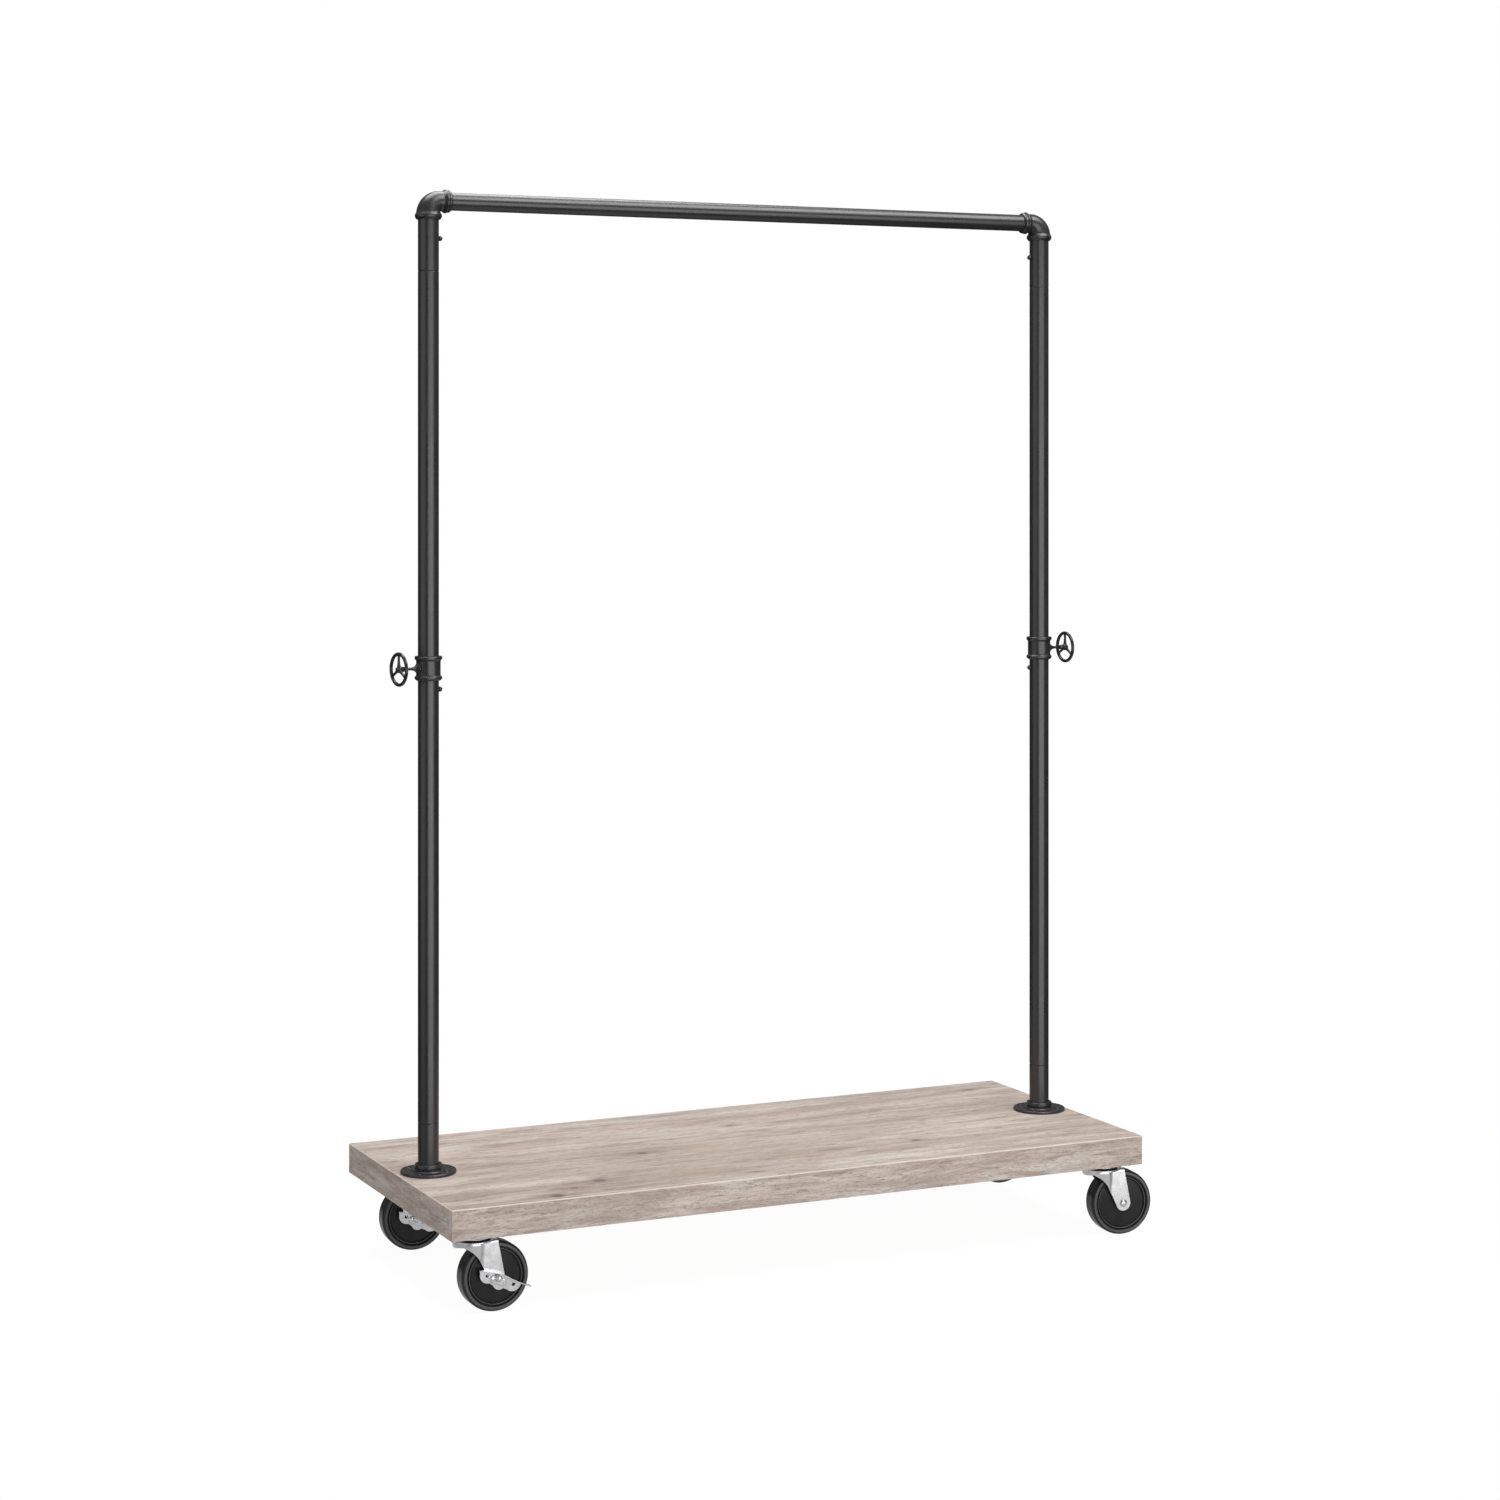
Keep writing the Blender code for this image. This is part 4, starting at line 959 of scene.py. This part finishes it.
def make_axle(name, braked):
    """Axle with a far head, and a near dome or the stud that carries the brake nut."""
    base = LEG_OUTER + GAP
    far = [(0.0040, -base, 0.0), (0.0058, -base, 0.0004), (0.0058, -base - 0.0020, 0.0009),
           (0.0044, -base - 0.0034, 0.0010), (0.0, -base - 0.0034, 0.0)]
    if braked:
        stud = base + 0.0085
        near = [(0.0, stud, 0.0), (0.0030, stud, 0.0), (0.0030, base, 0.0), (0.0040, base, 0.0)]
    else:
        dome = [(0.0058 * math.sin(a), base + 0.0036 * math.cos(a), 0.0)
                for a in (math.pi / 2.0 * i / 10 for i in range(11))]
        near = dome + [(0.0040, base, 0.0)]
    profile = rounded(near + far, 4, closed=False)
    place = caster_frame(name) @ AXLE_LOCAL
    axle = turned(f"axle_{name}_fine", profile, place, ZINC, SMALL_STEPS, closed=False)
    stand_for(axle, "bright_zinc", "axle_" + name)


def make_wheel(name):
    """One-piece wheel: crowned tread, raised rim, groove and bead around a recessed disc, and hub."""
    face = [
        (0.0043, HUB_HALF, 0.0), (0.0100, HUB_HALF, 0.0008), (0.0118, 0.0118, 0.0018),
        (0.0372, 0.0108, 0.0008), (0.0386, 0.0100, 0.0004), (0.0394, 0.0132, 0.0006),
        (0.0406, 0.0135, 0.0006), (0.0414, 0.0108, 0.0004), (0.0428, 0.0108, 0.0004),
        (0.0434, 0.0144, 0.0008), (0.0450, WHEEL_HALF, 0.0016), (0.0478, 0.0148, 0.0020),
        (0.0500, 0.0128, 0.0022), (WHEEL_RADIUS, 0.0098, 0.0030)]
    profile = rounded(face + [(r, -h, f) for r, h, f in reversed(face)], 6)
    place = caster_frame(name) @ AXLE_LOCAL
    wheel = turned(f"wheel_{name}_fine", profile, place, WHEEL_BLACK, WHEEL_STEPS, sharp=45.0)
    stand_for(wheel, "wheel_black", "wheel_" + name)
    end = HUB_HALF + GAP
    bush = rounded([
        (0.0042, end, 0.0), (0.0072, end, 0.0004), (0.0072, -end, 0.0004), (0.0042, -end, 0.0)], 3)
    liner = turned(f"hub_bush_{name}", bush, place, ZINC, SMALL_STEPS)
    extra(liner, "roller_" + name)


def pedal_line(steps):
    rise = bezier_points((-0.0305, 0.0046), (-0.0180, 0.0050), (-0.0040, 0.0074), (0.0060, 0.0066), steps)
    fall = bezier_points((0.0060, 0.0066), (0.0150, 0.0050), (0.0240, 0.0012), (0.0518, 0.0004), steps)
    return rise + fall[1:]


def lever_outline():
    """Side plate: the flange line above, and three round lobes below."""
    top = [point for point in pedal_line(12) if point[0] < 0.0375]
    right = arc_points((0.0248, -0.0010), 0.0132, 6.0, -115.0, 16)
    middle = arc_points((0.0050, -0.0064), 0.0102, -38.0, -142.0, 12)
    left = arc_points((-0.0155, 0.0005), 0.0126, -62.0, -172.0, 14)
    return top + right + middle + left


def flange_strip():
    """Top flange as a thin bent strip that runs out into the tongue."""
    line = pedal_line(12)
    above = []
    below = []
    half = 0.0008
    for i, (x, z) in enumerate(line):
        before = line[max(i - 1, 0)]
        after = line[min(i + 1, len(line) - 1)]
        run = math.hypot(after[0] - before[0], after[1] - before[1])
        side = (-(after[1] - before[1]) / run, (after[0] - before[0]) / run)
        above.append((x + side[0] * half, z + side[1] * half))
        below.append((x - side[0] * half, z - side[1] * half))
    return above + below[::-1]


def make_brake(name):
    """Stamped brake lever with its top flange, raised boss, slots, studs, and a cap nut on the axle."""
    axle = caster_frame(name) @ Matrix.Translation((TRAIL, 0.0, AXLE_HEIGHT))
    place = axle @ Matrix.Rotation(BRAKE_TILT, 4, "Y") @ Matrix.Rotation(math.pi / 2.0, 4, "X")
    shape = bmesh.new()
    add_plate(shape, lever_outline(), LEVER_PLANE, LEVER_PLANE + LEVER_SHEET)
    lever = finish_mesh(f"brake_lever_{name}_fine", shape, place, ZINC)
    for x, z in ((-0.0161, -0.0012), (0.0270, -0.0037)):
        slot = bmesh.new()
        hole = rounded([(x - 0.0024, z - 0.0022, 0.0009), (x + 0.0018, z - 0.0022, 0.0009),
                        (x + 0.0024, z + 0.0022, 0.0009), (x - 0.0018, z + 0.0022, 0.0009)], 4)
        add_plate(slot, hole, LEVER_PLANE - 0.004, LEVER_PLANE + 0.006)
        cut(lever, finish_mesh("slot", slot, place, ZINC))
    add_bevel(lever, 0.0005, 3, 50.0)
    stand_for(lever, "bright_zinc", "brake_lever_" + name)
    body = "pedal_" + name
    strip = bmesh.new()
    add_plate(strip, flange_strip(), LEVER_PLANE + 0.0002, LEVER_PLANE + LEVER_FLANGE)
    flange = finish_mesh(f"brake_flange_{name}", strip, place, ZINC)
    add_bevel(flange, 0.0006, 3, 50.0)
    extra(flange, body)
    pill = (arc_points((0.0092, -0.0042), 0.0058, -94.0, 86.0, 14)
            + arc_points((-0.0062, -0.0030), 0.0058, 86.0, 266.0, 14))
    boss = bmesh.new()
    add_plate(boss, pill, LEVER_PLANE + 0.0010, LEVER_PLANE + LEVER_BOSS)
    raised = finish_mesh(f"brake_boss_{name}", boss, place, ZINC)
    add_bevel(raised, 0.0018, 5, 50.0)
    extra(raised, body)
    studs = bmesh.new()
    top = LEVER_PLANE + LEVER_BOSS
    for x, z, radius, rise in ((-0.0072, -0.0028, 0.0038, 0.0016), (0.0112, -0.0048, 0.0021, 0.0016)):
        cap = [(radius * math.cos(a), top + rise * math.sin(a))
               for a in (math.pi / 16.0 * i for i in range(9))]
        local = Matrix.Translation((x, z, 0.0))
        add_turned(studs, cap + [(0.0, top - 0.0006), (radius, top - 0.0006)], 28, local=local)
    extra(finish_mesh(f"brake_studs_{name}", studs, place, ZINC), body)
    nut_low = top + 0.0002
    hexagon = bmesh.new()
    across = [(0.0057 * math.cos(a), 0.0057 * math.sin(a)) for a in (math.pi / 3.0 * i for i in range(6))]
    add_plate(hexagon, across, nut_low, nut_low + 0.0030)
    dome = [(0.0047 * math.cos(a), nut_low + 0.0030 + 0.0043 * math.sin(a))
            for a in (math.pi / 2.0 * i / 8 for i in range(9))]
    add_turned(hexagon, dome + [(0.0, nut_low + 0.0020), (0.0047, nut_low + 0.0020)], SMALL_STEPS)
    nut = finish_mesh(f"brake_nut_{name}_fine", hexagon, axle @ Matrix.Rotation(math.pi / 2.0, 4, "X"), ZINC)
    add_bevel(nut, 0.0004, 2, 40.0)
    stand_for(nut, "bright_zinc", "brake_nut_" + name)


def make_casters():
    for name in CASTERS:
        make_plate(name)
        make_fork(name)
        make_axle(name, name in BRAKED)
        make_wheel(name)
        if name in BRAKED:
            make_brake(name)


# Studio

def make_floor():
    """Pale floor, lit from within like a sweep of white paper, that fades into the surroundings."""
    shape = bmesh.new()
    bmesh.ops.create_circle(shape, cap_ends=True, segments=64, radius=1.3)
    look = Look("pale_floor", 0.8, specular=0.0)
    look.colour(rgb(0.10, 0.10, 0.10))
    rays = look.node("LightPath", {}).outputs["Is Camera Ray"]
    look.shader.inputs["Emission Color"].default_value = rgb(1.0, 1.0, 1.0)
    look.fill(look.shader.inputs["Emission Strength"], look.remap(rays, 0.0, 1.0, 0.52, 0.95))
    distance = look.node("VectorMath", {0: look.coordinates}, operation="LENGTH").outputs["Value"]
    look.fill(look.shader.inputs["Alpha"], look.remap(distance, 0.72, 1.3, 1.0, 0.0))
    floor = finish_mesh("floor", shape, Matrix.Translation((0.0, 0.0, -0.0002)), look.material)


def area_light(name, location, target, size_x, size_y, power):
    data = bpy.data.lights.new(name, "AREA")
    data.shape = "RECTANGLE"
    data.size = size_x
    data.size_y = size_y
    data.energy = power
    light = bpy.data.objects.new(name, data)
    bpy.context.scene.collection.objects.link(light)
    light.location = location
    light.visible_camera = False
    light.rotation_euler = (Vector(target) - Vector(location)).to_track_quat("-Z", "Y").to_euler()


def make_studio():
    """White surroundings to the eye, dimmer ones in reflections, and four large soft boxes."""
    world = bpy.data.worlds.new("studio")
    bpy.context.scene.world = world
    world.use_nodes = True
    nodes = world.node_tree.nodes
    links = world.node_tree.links
    background = nodes["Background"]
    background.inputs["Strength"].default_value = 1.0
    sky = nodes.new("ShaderNodeTexCoord")
    split = nodes.new("ShaderNodeSeparateXYZ")
    links.new(sky.outputs["Generated"], split.inputs[0])
    slope = nodes.new("ShaderNodeMapRange")
    slope.inputs["From Min"].default_value = -0.2
    slope.inputs["From Max"].default_value = 0.8
    slope.inputs["To Min"].default_value = 0.05
    slope.inputs["To Max"].default_value = 0.34
    links.new(split.outputs["Z"], slope.inputs["Value"])
    rays = nodes.new("ShaderNodeLightPath")
    seen = nodes.new("ShaderNodeMix")
    seen.data_type = "FLOAT"
    links.new(rays.outputs["Is Camera Ray"], seen.inputs[0])
    links.new(slope.outputs[0], seen.inputs[2])
    seen.inputs[3].default_value = 1.0
    links.new(seen.outputs[0], background.inputs["Color"])
    area_light("front_softbox", (0.35, -4.0, 0.55), (0.35, 0.0, 0.55), 4.7, 2.6, 112.0)
    area_light("overhead_softbox", (0.9, -1.3, 3.4), (0.0, 0.0, 0.8), 2.6, 1.5, 76.0)
    area_light("top_fill", (-0.3, 0.5, 3.2), (-0.1, 0.1, 0.0), 2.2, 1.4, 58.0)
    area_light("left_fill", (-4.2, -0.6, 1.1), (-0.4, 0.0, 0.4), 4.0, 3.2, 32.0)
    scene = bpy.context.scene
    scene.view_settings.view_transform = "Standard"
    scene.view_settings.look = "None"


def make_camera():
    data = bpy.data.cameras.new("camera")
    data.lens = 73.97
    data.sensor_width = 36.0
    data.shift_y = -0.19305
    data.clip_end = 50.0
    camera = bpy.data.objects.new("camera", data)
    bpy.context.scene.collection.objects.link(camera)
    camera.location = (-2.0588, -4.3782, 1.2248)
    camera.rotation_euler = (math.pi / 2.0, 0.0, math.radians(-25.096))
    bpy.context.scene.camera = camera


make_shelf()
make_posts()
make_rail()
make_casters()
make_floor()
make_studio()
make_camera()
